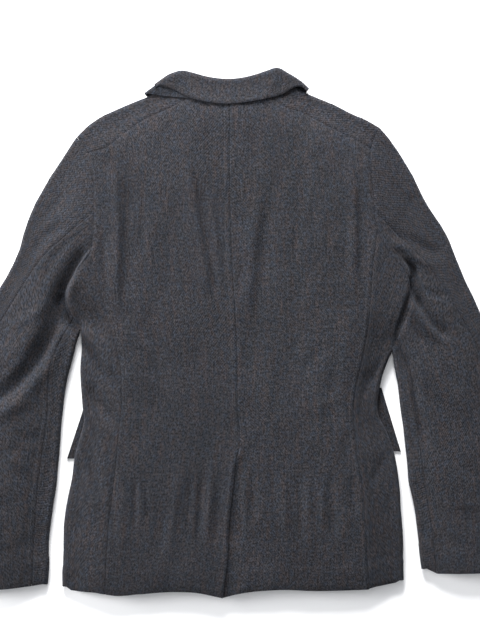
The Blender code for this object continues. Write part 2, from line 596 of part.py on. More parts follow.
def collar_grid(edge, depth):
    """The fall from its edge to the roll, round the roll, and a strip inside it."""
    outline = stations(fine_line(COLLAR_OUTLINE), COLLAR_STEPS)
    a, b = nearest(outline, edge[0]), nearest(outline, edge[-1]) + 1
    line = outline[a:b]
    way = outward(outline, (0, 200))[a:b]
    start = line - way * FOLD_REACH
    fall_edge = stations(fine_line(edge), b - a - 1)
    share = np.linspace(0, 1, 4)[:, None, None]
    fall = fall_edge[None] * (1 - share) + start[None] * share
    inner = stations(fine_line(COLLAR_INNER), COLLAR_STEPS)[a:b]
    strip = start[None] * (1 - share) + inner[None] * share
    sides = ease((np.abs(line[:, 0] + 4) - 46) / 22)
    lift = FALL_LIFT + 2 * COLLAR_WALL + LAYER_GAP
    high, high_n = surface(lambda xy: top_height(xy) + lift, fall)
    back_low = high[-1, :, 2] - ROLL_DEPTH
    low_z = back_low * (1 - sides)
    end_z = (top_height(inner) - 2 * COLLAR_WALL - LAYER_GAP) * (1 - sides)
    low = np.concatenate([strip, (low_z + (end_z - low_z) * share[..., 0])[..., None]], axis=-1)
    low_n = np.zeros(low.shape)
    low_n[..., 2] = -1
    bend, bend_n = rim(start, start, way, high[-1, :, 2], low_z)
    points = np.concatenate([high, bend, low])
    normals = np.concatenate([high_n, bend_n, low_n])
    return points - normals * depth, normals


def make_collar():
    points, normals = collar_grid(TOP_EDGE, 0)
    cloth("top_collar", points, normals, COLLAR_WALL, WOOL)
    points, normals = collar_grid(UNDER_EDGE, COLLAR_WALL + LAYER_GAP)
    cloth("under_collar", points, normals, COLLAR_WALL, WOOL_UNDER)


def flat_piece(name, first, last, wall, colour, rows, columns, folded=False):
    """A plain piece on the table. A folded one rises at its last line to the front above it."""
    share = np.linspace(0, 1, columns + 1)[None, :, None]
    xy = stations(fine_line(first), rows)[:, None] * (1 - share)
    xy = xy + stations(fine_line(last), rows)[:, None] * share
    points, normals = surface(lambda at: 0 * at[..., 0], xy, up=-1)
    if folded:
        roof = low_height(xy[:, -1:], -1) - wall - LAYER_GAP
        points[..., 2] = roof * ease(share[..., 0])
    cloth(name, points, normals, wall, colour)


def make_button(name, x, y):
    radius, thick = BUTTON["radius"], BUTTON["thick"]
    profile = [(radius - 0.6, 0), (radius, 0.6), (radius, thick - 0.6), (radius - 0.6, thick),
               (radius - 3, thick), (radius - 3.6, thick - 0.7)]
    count = 16
    ring = [(r * math.cos(2 * math.pi * k / count), r * math.sin(2 * math.pi * k / count), z)
            for r, z in profile for k in range(count)]
    # The dished face lies on the table
    vertices = (x, y, thick) - np.array([(0, 0, 0)] + ring + [(0, 0, thick - 0.7)])
    top = len(vertices) - 1
    faces = [(0, 1 + (k + 1) % count, 1 + k) for k in range(count)]
    for i in range(len(profile) - 1):
        for k in range(count):
            a, b = 1 + i * count + k, 1 + i * count + (k + 1) % count
            faces.append((a, b, b + count, a + count))
    last = 1 + (len(profile) - 1) * count
    faces += [(last + k, last + (k + 1) % count, top) for k in range(count)]
    faces = [tuple(reversed(face)) for face in faces]
    solid(name, vertices, faces, HORN)


def main():
    for old in list(bpy.data.objects):
        bpy.data.objects.remove(old)
    seams = [seams_of(LEFT), seams_of(RIGHT)]
    make_backs(seams)
    for t, s, side in ((LEFT, seams[0], "left"), (RIGHT, seams[1], "right")):
        make_side(t, s, "side_" + side)
        make_front(t, s, "front_" + side)
        make_sleeve(t, s, side)
        flat_piece("lapel_" + side, t["lapel_outer"], t["lapel_roll"], LAPEL_WALL, WOOL, 6, 4,
                   folded=True)
        a, b, c, d = t["flap"]
        flat_piece("flap_" + side, [a, d], [b, c], FLAP_WALL, WOOL, 3, 5)
    make_collar()
    make_button("button_upper", -2, 0)
    make_button("button_lower", -2, -105)
    # The origin goes to the middle of the base
    corners = np.array([made.matrix_world @ v.co for made in PIECES for v in made.data.vertices])
    low, high = corners.min(axis=0), corners.max(axis=0)
    shift = np.array([(low[0] + high[0]) / 2, (low[1] + high[1]) / 2, low[2]])
    for made in PIECES:
        for v in made.data.vertices:
            v.co -= type(v.co)(shift)
    print("shift mm", np.round(shift * 1000, 3), "size mm", np.round((high - low) * 1000, 1))


main()
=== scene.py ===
"""A man's wool blazer, lying face down on a pale table with its sleeves beside it.

Every cloth piece is a thin shell worked out on a grid of plan points. Lengths are millimetres in
the plan seen from above, +X right, +Y towards the collar, +Z up, and turn to metres at the end.
"""

import math

import bpy
import numpy as np
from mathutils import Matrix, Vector


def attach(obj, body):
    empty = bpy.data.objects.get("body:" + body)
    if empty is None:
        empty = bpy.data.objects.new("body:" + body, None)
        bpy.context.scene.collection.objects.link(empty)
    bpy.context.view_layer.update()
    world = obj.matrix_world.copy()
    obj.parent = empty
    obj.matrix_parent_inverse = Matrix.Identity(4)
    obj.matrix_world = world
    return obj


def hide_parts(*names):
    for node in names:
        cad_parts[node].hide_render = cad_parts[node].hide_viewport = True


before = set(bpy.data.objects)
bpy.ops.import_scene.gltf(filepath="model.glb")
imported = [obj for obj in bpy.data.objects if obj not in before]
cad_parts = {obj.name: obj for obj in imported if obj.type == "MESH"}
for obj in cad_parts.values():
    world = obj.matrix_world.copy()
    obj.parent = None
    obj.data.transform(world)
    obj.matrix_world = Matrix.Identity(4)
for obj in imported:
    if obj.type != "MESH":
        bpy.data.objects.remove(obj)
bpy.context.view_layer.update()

bl_info = {
    "name": "Tailored blazer, lying flat",
    "version": (1, 0, 0),
    "blender": (4, 5, 0),
    "location": "View3D > Sidebar > Blazer",
    "description": "Builds the cloth, seams and stitching of a blazer that lies face down",
    "category": "Object",
}

# The plan's own origin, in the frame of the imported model
SHIFT = np.array([0.581, -0.05, 0.0])

# How much finer the cloth is than its solid
FINER = 6

# Walls, gaps and heights, as in the solids
WALL = 2.0
COLLAR_WALL = 1.5
LAPEL_WALL = 1.8
FLAP_WALL = 1.8
SEAM_HALF = 0.12
LAYER_GAP = 0.3
LOWEST_TOP = 5.0
VENT_GAP = 1.0
FOLD_REACH = 6.0
RIM_HEIGHT = 12.0
CROWN = 9.0
CROWN_REACH = 36.0
HEM_DROP = 4.5
HEM_REACH = 38.0
FALL_LIFT = 0.7
ROLL_DEPTH = 10.0
CENTRE_LIFT = 4.3
FLAP_LIFT = 2.7
RIM_STEPS = 14

# How far the topstitching runs from its seam or edge, and the depth of the turned-up hems
SEAM_STITCH = 6.0
CENTRE_STITCH = 7.0
COLLAR_STITCH = 8.0
HEM_DEPTH = 34.0
CUFF_DEPTH = 38.0

# Steps along each stretch of seam
N_HEM_BACK = 15 * FINER
N_SIDE_TOP = 5 * FINER
N_UNDERARM = 3 * FINER
N_TIP = 1 * FINER
N_SIDE_LOW = 14 * FINER
N_VENT = 7 * FINER
N_CENTRE_HIGH = 17 * FINER
N_CAP_LOW = 3 * FINER
N_CAP_HIGH = 3 * FINER
N_CAP_FRONT = 2 * FINER
N_SHOULDER = 10 * FINER
N_NECK = 5 * FINER
N_SLEEVE = 15 * FINER
N_FLOOR_CAP = 5 * FINER
N_LAP = 4 * FINER
FINE = 3
COLLAR_STEPS = 30 * FINER

# Curves measured on the photograph, as plan points x, y
LEFT = {
    "side": -1,
    "armhole": [(-224, 281), (-212, 267), (-207, 257), (-201, 233), (-198, 210), (-198, 180),
                (-199, 144), (-205, 110), (-215, 98), (-230, 78), (-238, 51), (-235, 35),
                (-228, 21), (-221, 11), (-218, 3)],
    "seam_end": (-207, 257), "hindarm_end": (-198, 171), "side_end": (-205, 110),
    "hook": (-238, 51), "forearm_end": (-228, 21),
    "floor_armhole": [(-224, 281), (-211, 262), (-201, 225), (-196, 180), (-192, 120)],
    "floor_turn": (-192, 120), "floor_side": (-194, 50),
    "cap_way": (-0.62, 0.78), "crotch_way": (-0.1, -0.995),
    "side_seam": [(-205, 110), (-201, 98), (-192, 75), (-184, 47), (-179, 25), (-173, 4),
                  (-165, -25), (-159, -52), (-158, -76), (-158, -103), (-162, -139), (-165, -175),
                  (-169, -211), (-175, -261), (-179, -311), (-182, -374)],
    "side_fold": [(-218, 3), (-217, -25), (-218, -52), (-217, -76), (-215, -103), (-213, -126),
                  (-219, -149), (-226, -179), (-231, -211), (-237, -240), (-241, -266),
                  (-243, -311), (-244, -364)],
    "floor_seam": [(-194, 50), (-186, 0), (-178, -60), (-176, -126), (-180, -200), (-185, -290),
                   (-186, -373)],
    "sleeve_outer": [(-224, 281), (-252, 238), (-282, 188), (-297, 151), (-308, 114), (-332, 67),
                     (-361, 11), (-387, -46), (-404, -96), (-415, -153), (-420, -211),
                     (-418, -268), (-414, -325), (-410, -368)],
    "sleeve_inner": [(-218, 3), (-227, -27), (-234, -55), (-240, -85), (-244, -118), (-247, -150),
                     (-252, -211), (-257, -246), (-262, -282), (-264, -334), (-266, -361)],
    "hindarm": [(-198, 171), (-228, 147), (-275, 104), (-304, 61), (-333, 14), (-355, -20),
                (-373, -50), (-389, -96), (-401, -153), (-406, -211), (-404, -268), (-400, -325),
                (-396, -368)],
    "forearm": [(-228, 21), (-243, -5), (-255, -30), (-261, -49), (-264, -85), (-265, -121),
                (-272, -168), (-278, -215), (-282, -265), (-285, -311), (-288, -363)],
    "cuff_mid": (-345, -368),
    "hem_side": [(-233, -369), (-215, -371), (-197, -372), (-182, -374)],
    "hem_back": [(-182, -374), (-168, -376), (-135, -374), (-97, -371), (-51, -372), (-14, -379.5)],
    "shoulder_fold": [(-224, 281), (-211, 294), (-190, 308), (-161, 322), (-142, 330),
                      (-129, 335), (-111, 343), (-97, 349), (-84, 354)],
    "shoulder_seam": [(-207, 257), (-179, 266), (-157, 284), (-128, 304), (-75, 330), (-61, 341)],
    "neck": [(-61, 341), (-32, 336), (-4, 334)],
    "front_edge": [(18, -372), (18, -200), (18, 20), (8, 90), (-20, 180), (-50, 260), (-76, 346)],
    "lapel_outer": [(16, 30), (-20, 70), (-60, 130), (-95, 195), (-122, 255)],
    "lapel_roll": [(18, 34), (8, 90), (-18, 170), (-42, 235), (-62, 288)],
    "flap": [(-213, -105), (-84, -112), (-92, -184), (-238, -181)],
}
RIGHT = {
    "side": 1,
    "armhole": [(211, 294), (202, 278), (198, 263), (197, 241), (201, 201), (203, 173), (207, 145),
                (219, 120), (235, 101), (248, 85), (255, 70), (256, 50), (251, 30), (240, 3),
                (233, -13), (229, -27)],
    "seam_end": (198, 263), "hindarm_end": (203, 173), "side_end": (207, 145),
    "hook": (255, 70), "forearm_end": (240, 3),
    "floor_armhole": [(211, 294), (202, 270), (196, 235), (194, 190), (197, 125)],
    "floor_turn": (197, 125), "floor_side": (207, 45),
    "cap_way": (0.66, 0.75), "crotch_way": (0.05, -0.999),
    "side_seam": [(207, 145), (204, 125), (200, 97), (198, 60), (197, 47), (193, 4), (188, -25),
                  (182, -52), (177, -76), (173, -103), (174, -139), (178, -175), (184, -211),
                  (189, -261), (192, -311), (195, -367)],
    "side_fold": [(229, -27), (222, -42), (217, -55), (212, -76), (208, -100), (209, -118),
                  (219, -139), (231, -171), (238, -211), (242, -261), (245, -311), (245, -355)],
    "floor_seam": [(207, 45), (196, 0), (182, -50), (172, -110), (180, -180), (190, -280),
                   (193, -364)],
    "sleeve_outer": [(211, 294), (228, 274), (257, 226), (278, 186), (307, 140), (322, 103),
                     (335, 74), (354, 31), (371, -10), (390, -60), (404, -110), (414, -168),
                     (420, -225), (421, -282), (418, -342)],
    "sleeve_inner": [(229, -27), (232, -48), (237, -76), (243, -125), (250, -183), (253, -211),
                     (258, -240), (264, -277), (269, -319), (272, -339)],
    "hindarm": [(203, 173), (232, 144), (275, 101), (304, 61), (332, 14), (354, -25), (377, -62),
                (391, -110), (401, -168), (407, -225), (408, -282), (405, -342)],
    "forearm": [(240, 3), (246, -15), (252, -40), (258, -76), (264, -125), (271, -183),
                (279, -240), (285, -277), (290, -319), (293, -345)],
    "cuff_mid": (345, -344),
    "hem_side": [(235, -358), (219, -361), (207, -363), (195, -366)],
    "hem_back": [(195, -367), (129, -369), (54, -368), (11, -373), (-14, -379.5)],
    "shoulder_fold": [(211, 294), (199, 301), (184, 308), (161, 319), (134, 331), (108, 342),
                      (95, 349), (80, 356)],
    "shoulder_seam": [(198, 263), (168, 280), (139, 294), (104, 313), (64, 330), (54, 343)],
    "neck": [(54, 343), (28, 336), (-4, 334)],
    "front_edge": [(-22, -372), (-22, -200), (-22, 20), (-12, 90), (16, 180), (46, 260), (72, 347)],
    "lapel_outer": [(6, 134), (42, 141), (74, 168), (97, 208), (118, 255)],
    "lapel_roll": [(4, 135), (12, 162), (25, 198), (42, 244), (58, 288)],
    "flap": [(214, -79), (84, -90), (92, -163), (242, -171)],
}
CENTRE_SEAM = [(-14, -379.5), (-8, -332), (-4, -266), (2, -213), (5, -182), (8, -172), (7, -103),
               (6, -26), (4, 21), (1, 70), (-1, 104), (-4, 213), (-4, 334)]
VENT_TOP = (7.5, -170)

# The collar, from its left end to its right end
COLLAR_OUTLINE = [(-129, 344), (-111, 357), (-88, 372), (-72, 376), (-58, 373), (-41, 368),
                  (2, 364), (36, 371), (50, 376), (63, 380), (82, 371), (99, 360), (110, 350)]
UNDER_EDGE = [(-126, 342), (-112, 341), (-99, 339), (-68, 336), (-45, 333), (-5, 330), (30, 334),
              (66, 343), (86, 350), (97, 355), (106, 350)]
TOP_EDGE = [(-111, 354), (-88, 349), (-61, 336), (-37, 330), (-5, 327), (30, 331), (69, 340),
            (97, 352), (108, 348)]
COLLAR_INNER = [(-104, 314), (-92, 318), (-80, 324), (-71, 330), (-60, 345), (-40, 340),
                (0, 335.5), (36, 340.5), (53, 347), (64, 334), (74, 328), (84, 321), (92, 316)]

# Folds of the upper layer: height, half width on the line's right and left hand, points from above
FOLDS = [
    ("blade_head", -3.2, 8, 11, [(-192, 258), (-175, 236), (-159, 210), (-152, 173)]),
    ("blade", 3.6, 9, 4.6, [(-178, 247), (-168, 227), (-164, 196), (-163, 133), (-164, 75), (-164, 41)]),
    ("blade_hollow", -2.6, 4, 12, [(-155, 224), (-152, 190), (-153, 133), (-154, 75), (-155, 44)]),
    ("blade_second", -2.4, 4, 5, [(-184, 150), (-184, 101), (-179, 44)]),
    ("blade_tail", -2.6, 8, 10, [(-157, 50), (-141, 15), (-111, -19), (-84, -62)]),
    ("diagonal", 3.2, 14, 5.5, [(-71, 261), (-58, 210), (-46, 138), (-36, 75), (-31, 44)]),
    ("diagonal_hollow", -2.6, 4.5, 6, [(-61, 253), (-49, 207), (-38, 133), (-28, 70), (-22, 41)]),
    ("centre_ridge", 1.8, 5, 5, [(-34, 221), (-24, 138), (-16, 61)]),
    ("right_of_centre", 2.8, 14, 9, [(42, 221), (31, 144), (24, 70), (19, 4)]),
    ("right_of_centre_hollow", -2, 8, 12, [(55, 216), (46, 138), (38, 61), (31, -10)]),
    ("right_blade", 2.4, 9, 4.5, [(168, 261), (174, 196), (175, 133), (175, 73)]),
    ("right_blade_hollow", -1.8, 4, 9, [(179, 196), (182, 133), (182, 75)]),
    ("right_shoulder_hollow", -1.8, 10, 12, [(154, 261), (171, 233), (191, 204)]),
    ("neck_hollow_left", -1.4, 9, 9, [(-92, 307), (-81, 261)]),
    ("underarm_long", -2.4, 8, 8, [(-204, 47), (-184, 4), (-164, -33), (-155, -68)]),
    ("waist_left", -3.2, 7, 9, [(-212, -70), (-198, -92), (-178, -116), (-161, -145)]),
    ("waist_left_ridge", 2.2, 7, 6, [(-212, -108), (-195, -130), (-181, -153)]),
    ("hip_left", -2.8, 5, 6, [(-207, -165), (-197, -202), (-181, -242)]),
    ("hip_left_ridge", 2.2, 5, 5, [(-214, -185), (-205, -225), (-192, -262)]),
    ("side_armpit_left", 3.6, 2.2, 10, [(-212, 95), (-228, 70), (-235, 47), (-228, 27), (-212, 1)]),
    ("sleeve_left_roll", 4.4, 18, 13, [(-261, 90), (-270, 41), (-284, -2), (-304, -36), (-338, -73)]),
    ("sleeve_left_lip", 2.4, 4, 12, [(-247, -19), (-264, -48), (-284, -73), (-312, -102), (-338, -119)]),
    ("sleeve_left_soft", -1.6, 8, 8, [(-232, 158), (-267, 138), (-292, 101)]),
    ("sleeve_left_cuff_one", -1.6, 6, 8, [(-318, -139), (-290, -153), (-270, -148)]),
    ("sleeve_left_cuff_two", 1.4, 7, 7, [(-338, -171), (-310, -185), (-284, -202)]),
    ("cap_right_one", -3, 8, 7, [(217, 170), (231, 144), (260, 128), (285, 117), (311, 113)]),
    ("cap_right_ridge", 2.4, 7, 7, [(222, 135), (242, 118), (271, 104), (297, 93)]),
    ("cap_right_two", -2.4, 5, 8, [(228, 124), (245, 104), (268, 87)]),
    ("crook_hook", -3.2, 4, 4, [(244, 105), (254, 100), (260, 87), (257, 70)]),
    ("crook_a_lip", 3.4, 6, 4, [(248, 53), (260, 30), (277, 7), (297, -13)]),
    ("crook_b", -3.8, 6, 9, [(245, 41), (260, 7), (282, -25), (305, -59), (334, -90)]),
    ("crook_b_lip", 2.4, 9, 6, [(245, 21), (260, -10), (277, -42), (294, -79)]),
    ("forearm_right_ridge", 2.4, 5, 9, [(242, -5), (254, -33), (268, -65), (275, -102)]),
    ("sleeve_right_long", -2.2, 9, 9, [(285, -85), (305, -136), (328, -196)]),
    ("sleeve_right_low", -2, 8, 8, [(308, -225), (328, -256), (354, -291)]),
    ("vent_valley", -2.8, 4, 5, [(-42, -196), (-46, -233), (-48, -268), (-51, -311)]),
    ("vent_ridge", 2.6, 4, 4.5, [(-29, -188), (-32, -233), (-35, -273), (-36, -314)]),
    ("vent_edge_ridge", 1.4, 4, 3.5, [(-2, -185), (-6, -239), (-12, -308)]),
    ("vent_second", -1.4, 3.5, 4, [(-18, -196), (-21, -248), (-25, -311)]),
    ("vent_outer", -1.4, 4, 5, [(-59, -193), (-61, -239), (-66, -291)]),
    ("skirt_left_one", -2.2, 3.5, 4, [(-141, -208), (-139, -242), (-139, -282)]),
    ("skirt_left_two", -1.6, 3.5, 4, [(-124, -208), (-122, -239), (-119, -271)]),
    ("skirt_left_ridge", 1.4, 4, 4, [(-132, -211), (-131, -268)]),
    ("skirt_left_three", -1.6, 6, 7, [(-95, -228), (-99, -282), (-104, -325)]),
    ("skirt_left_four", 1.6, 6, 6, [(-78, -202), (-81, -248), (-89, -308)]),
    ("skirt_left_far", -1.8, 5, 6, [(-171, -185), (-172, -239), (-169, -311)]),
    ("skirt_right_ridge", 1.6, 4, 4, [(15, -199), (18, -245), (19, -296)]),
    ("skirt_right", -2, 4, 5, [(28, -185), (29, -231), (31, -273)]),
    ("skirt_right_two_ridge", 2, 6, 5, [(71, -199), (75, -245), (79, -294)]),
    ("skirt_right_two", -1.2, 4, 4, [(56, -191), (59, -239)]),
    ("skirt_right_three", -1.6, 4, 5, [(92, -193), (97, -245), (99, -305)]),
    ("skirt_right_three_ridge", 1.4, 4, 4, [(107, -202), (109, -268)]),
    ("skirt_right_four_ridge", 1.8, 4, 4, [(128, -216), (128, -271)]),
    ("skirt_right_four", -1.6, 4, 6, [(139, -196), (141, -251), (145, -305)]),
    ("skirt_right_five", -1.4, 5, 6, [(171, -196), (174, -268)]),
    ("mid_left_soft", -1.2, 12, 12, [(-118, 47), (-109, -39), (-104, -125)]),
    ("mid_right_soft", -1.2, 12, 12, [(97, 104), (91, 4), (82, -96)]),
    ("mid_right_far", -1, 10, 10, [(154, 47), (145, -68), (139, -153)]),
    ("waist_right", -1.6, 8, 9, [(222, -36), (205, -56), (182, -73)]),
]

# The deepest folds, at the armpits and elbows, which run on into the edges
DEEP_FOLDS = [
    ("armhole_groove_left", -8, 12, 1.8,
     [(-201, 124), (-212, 110), (-230, 81), (-240, 58), (-241, 38), (-230, 15), (-218, -2)]),
    ("cavity_left", -6, 9, 7, [(-244, 58), (-241, 30), (-235, -5)]),
    ("sleeve_valley_left", -7, 16, 5.5,
     [(-218, 101), (-238, 61), (-250, 15), (-265, -20), (-288, -55), (-315, -83), (-344, -105),
      (-367, -119)]),
    ("underarm_fold_left", 5.5, 3, 12, [(-224, 15), (-209, -5), (-194, -25), (-181, -48), (-171, -73)]),
    ("underarm_hollow_left", -4, 7, 3.4, [(-221, -2), (-207, -25), (-191, -46), (-178, -73)]),
    ("crook_right", -8.5, 3, 10, [(245, 107), (255, 87), (257, 64), (265, 41), (277, 21)]),
    ("crook_long_right", -5.5, 5, 9, [(255, 67), (267, 41), (282, 18), (302, -2), (314, -10)]),
    ("body_edge_right", -6, 1.6, 8, [(252, 93), (255, 70), (247, 41), (238, 15), (231, -10)]),
    ("forearm_right", -5, 3.6, 6,
     [(228, 10), (242, -28), (255, -62), (262, -99), (272, -148), (280, -182)]),
]

# Small creases: start x, y, end x, y, sideways bow, half width, height
CREASES = [
    ("neck_drag_left", -38, 300, -30, 236, 3, 6, -0.9),
    ("neck_drag_right", 30, 296, 40, 230, -3, 6, -0.8),
    ("yoke_left", -150, 262, -104, 236, 5, 7, -1.0),
    ("yoke_right", 152, 256, 106, 240, -5, 7, -0.8),
    ("blade_fan_one", -128, 196, -136, 96, 4, 5, -1.4),
    ("blade_fan_two", -108, 176, -118, 62, -3, 5, 1.0),
    ("blade_fan_three", -92, 150, -96, 40, 3, 6, -1.0),
    ("waist_left_one", -150, -14, -96, -70, 5, 6, -1.2),
    ("waist_left_two", -140, -52, -84, -92, -4, 7, 1.0),
    ("waist_left_three", -150, -96, -88, -128, 4, 7, -0.9),
    ("small_back_left", -62, 26, -40, -66, 3, 6, -1.2),
    ("small_back_right", 22, 24, 30, -86, -3, 7, -1.0),
    ("right_blade_one", 96, 214, 86, 96, 4, 7, -1.2),
    ("right_blade_two", 132, 196, 128, 92, -4, 7, 1.0),
    ("right_blade_three", 158, 176, 160, 70, 3, 6, -1.1),
    ("right_waist_one", 152, -16, 92, -60, -5, 8, -1.0),
    ("right_waist_two", 160, -80, 104, -112, 5, 8, 0.9),
    ("right_loin", 66, -20, 60, -130, 3, 8, -0.9),
    ("skirt_left_one", -108, -216, -112, -316, 3, 6, -1.0),
    ("skirt_left_two", -150, -210, -156, -326, -3, 7, 0.9),
    ("skirt_right_one", 116, -238, 118, -330, 3, 6, -1.0),
    ("skirt_right_two", 160, -200, 166, -318, -4, 7, 0.9),
    ("side_left_one", -204, -96, -172, -128, 3, 5, -1.2),
    ("side_left_two", -222, -258, -196, -300, 3, 6, -1.0),
    ("side_right_one", 206, -60, 186, -96, -3, 5, -1.2),
    ("side_right_two", 224, -176, 198, -220, -3, 6, -1.1),
    ("sleeve_left_one", -240, 206, -286, 150, 5, 7, -1.4),
    ("sleeve_left_two", -226, 140, -272, 66, -6, 7, -1.6),
    ("sleeve_left_three", -268, 40, -318, 8, 4, 7, 1.6),
    ("sleeve_left_four", -292, -18, -356, -70, 5, 8, -1.6),
    ("sleeve_left_five", -282, -96, -352, -134, -5, 8, 1.3),
    ("sleeve_left_six", -290, -150, -372, -196, 6, 9, -1.5),
    ("sleeve_left_seven", -300, -236, -382, -262, 4, 9, -1.1),
    ("sleeve_left_eight", -276, -300, -340, -322, -3, 8, -0.9),
    ("sleeve_right_one", 226, 222, 268, 172, -4, 7, -1.2),
    ("sleeve_right_two", 222, 118, 292, 98, 4, 6, -1.5),
    ("sleeve_right_three", 262, 66, 318, 52, -4, 6, -1.6),
    ("sleeve_right_four", 262, -10, 312, -66, 5, 7, 1.4),
    ("sleeve_right_five", 268, -78, 328, -148, 5, 8, -1.4),
    ("sleeve_right_six", 290, -158, 372, -214, -6, 9, -1.4),
    ("sleeve_right_seven", 296, -246, 378, -252, 4, 9, 1.1),
    ("sleeve_right_eight", 300, -296, 360, -322, 3, 8, -0.9),
]

# The same on the side that lies on the table, all of them hollows
LOW_CREASES = [
    ("chest_left", -150, 190, -120, 80, 4, 9, 1.2),
    ("chest_right", 146, 180, 128, 70, -4, 9, 1.3),
    ("waist_left", -176, 10, -84, -46, 6, 8, 1.5),
    ("waist_left_low", -150, -60, -60, -84, -5, 9, 1.0),
    ("waist_right", 182, 16, 90, -30, -6, 8, 1.4),
    ("waist_right_low", 168, -70, 80, -96, 5, 9, 1.0),
    ("skirt_left", -116, -200, -122, -320, 4, 9, 1.1),
    ("skirt_right", 118, -196, 126, -322, -4, 9, 1.1),
    ("elbow_left_one", -262, 60, -322, 26, 4, 8, 1.4),
    ("elbow_left_two", -276, -10, -340, -44, -4, 9, 1.2),
    ("forearm_left", -296, -150, -368, -190, 5, 9, 1.2),
    ("elbow_right_one", 258, 52, 318, 26, -4, 8, 1.4),
    ("elbow_right_two", 270, -20, 336, -50, 4, 9, 1.2),
    ("forearm_right", 292, -150, 366, -186, -5, 9, 1.2),
]


def fine_line(points, per=14):
    """A smooth line through the points: each step is a cubic with the slopes of its neighbours."""
    p = np.array(points, float)
    run = np.r_[0, np.cumsum(np.hypot(*np.diff(p, axis=0).T))]
    slope = np.gradient(p, run, axis=0)
    h = np.diff(run)[:, None, None]
    t = np.linspace(0, 1, per, endpoint=False)[None, :, None]
    a, b, m, n = (v[:, None] for v in (p[:-1], p[1:], slope[:-1], slope[1:]))
    line = (2 * t**3 - 3 * t**2 + 1) * a + (t**3 - 2 * t**2 + t) * h * m
    line = line + (3 * t**2 - 2 * t**3) * b + (t**3 - t**2) * h * n
    return np.vstack([line.reshape(-1, 2), p[-1:]])


def nearest(line, point):
    return int(np.argmin(np.hypot(*(line - np.array(point)).T)))


def stations(line, count):
    """count steps of equal length along a line."""
    run = np.r_[0, np.cumsum(np.hypot(*np.diff(line, axis=0).T))]
    at = np.linspace(0, run[-1], count + 1)
    return np.stack([np.interp(at, run, line[:, k]) for k in range(2)], axis=1)


def stretches(line, marks, counts):
    """The line cut at the marks, each stretch in its own count of equal steps."""
    cuts = [0] + [nearest(line, mark) for mark in marks] + [len(line) - 1]
    return [stations(line[a:b + 1], n) for a, b, n in zip(cuts[:-1], cuts[1:], counts)]


def refined(points, by):
    """Each chord cut into equal parts."""
    points = np.array(points, float)
    at = np.linspace(0, len(points) - 1, (len(points) - 1) * by + 1)
    return np.stack([np.interp(at, np.arange(len(points)), points[:, k]) for k in range(2)], axis=1)


def chain(*parts):
    return np.vstack([parts[0]] + [part[1:] for part in parts[1:]])


def left_normals(points):
    """Unit normals on the left of a line, each the mean of its two steps."""
    step = np.diff(points, axis=0)
    step = step / np.maximum(np.hypot(step[:, 0], step[:, 1]), 1e-9)[:, None]
    mean = np.vstack([step[:1], step[:-1] + step[1:], step[-1:]])
    mean = mean / np.maximum(np.hypot(mean[:, 0], mean[:, 1]), 1e-9)[:, None]
    return np.stack([-mean[:, 1], mean[:, 0]], axis=1)


def patch(start, end, first, last, gaps=(0, 0, 0, 0)):
    """A grid between four lines: opposite lines are blended straight, less the four corners' share.

    gaps pull each line inwards, so that a seam stays open by a hair.
    """
    sides = [np.array(line, float) for line in (start, end, first, last)]
    loop = np.vstack([sides[0], sides[3][1:], sides[1][::-1][1:], sides[2][::-1][1:]])
    area = np.sum(loop[:, 0] * np.roll(loop[:, 1], -1) - loop[:, 1] * np.roll(loop[:, 0], -1))
    turn = 1 if area > 0 else -1
    way = (turn, -turn, -turn, turn)
    move = [left_normals(line) * w * (np.ones(len(line)) * g)[:, None]
            for line, w, g in zip(sides, way, gaps)]
    for a, i, b, j in ((0, 0, 2, 0), (0, -1, 3, 0), (1, 0, 2, -1), (1, -1, 3, -1)):
        both = move[a][i] + move[b][j]
        move[a][i] = both
        move[b][j] = both
    s, e, f, l = (line + m for line, m in zip(sides, move))
    v = np.linspace(0, 1, len(f))[:, None, None]
    u = np.linspace(0, 1, len(s))[None, :, None]
    across = (1 - u) * f[:, None] + u * l[:, None]
    along = (1 - v) * s[None] + v * e[None]
    corners = (1 - v) * ((1 - u) * s[0] + u * s[-1]) + v * ((1 - u) * e[0] + u * e[-1])
    return across + along - corners


def ease(x):
    """A step from 0 to 1 with level ends."""
    x = np.clip(x, 0, 1)
    return x * x * (3 - 2 * x)


def distance_to(line, xy):
    """Distance of each plan point to a line, how far along it the foot lies, and if it is on the left."""
    best = np.full(len(xy), 1e9)
    along = np.zeros(len(xy))
    left = np.zeros(len(xy), bool)
    for i in range(len(line) - 1):
        a = line[i]
        d = line[i + 1] - a
        off = xy - a
        t = np.clip((off @ d) / (d @ d + 1e-12), 0, 1)
        gap = np.hypot(*(off - t[:, None] * d).T)
        near = gap < best
        best = np.where(near, gap, best)
        along = np.where(near, (i + t) / (len(line) - 1), along)
        left = np.where(near, d[0] * off[:, 1] > d[1] * off[:, 0], left)
    return best, along, left


def gap_to(line, xy, within):
    """Distance of each point of a grid to a line, worked out only near it."""
    flat = xy.reshape(-1, 2)
    gap = np.full(len(flat), 1e3)
    low, high = line.min(axis=0) - within, line.max(axis=0) + within
    near = ((flat > low) & (flat < high)).all(axis=1)
    if near.any():
        gap[near] = distance_to(line, flat[near])[0]
    return gap.reshape(xy.shape[:-1])


OUTLINES = [stations(fine_line(table[key]), 26)
            for table in (LEFT, RIGHT)
            for key in ("sleeve_outer", "sleeve_inner", "side_fold", "shoulder_fold")]
OUTLINES.append(stations(fine_line(COLLAR_OUTLINE), 26))


def bent(x0, y0, x1, y1, bow):
    """A gently bowed line between two points."""
    t = np.linspace(0, 1, 9)[:, None]
    a, b = np.array((x0, y0), float), np.array((x1, y1), float)
    side = np.array((-(b - a)[1], (b - a)[0])) / np.hypot(*(b - a))
    return a + (b - a) * t + side * bow * 4 * t * (1 - t)


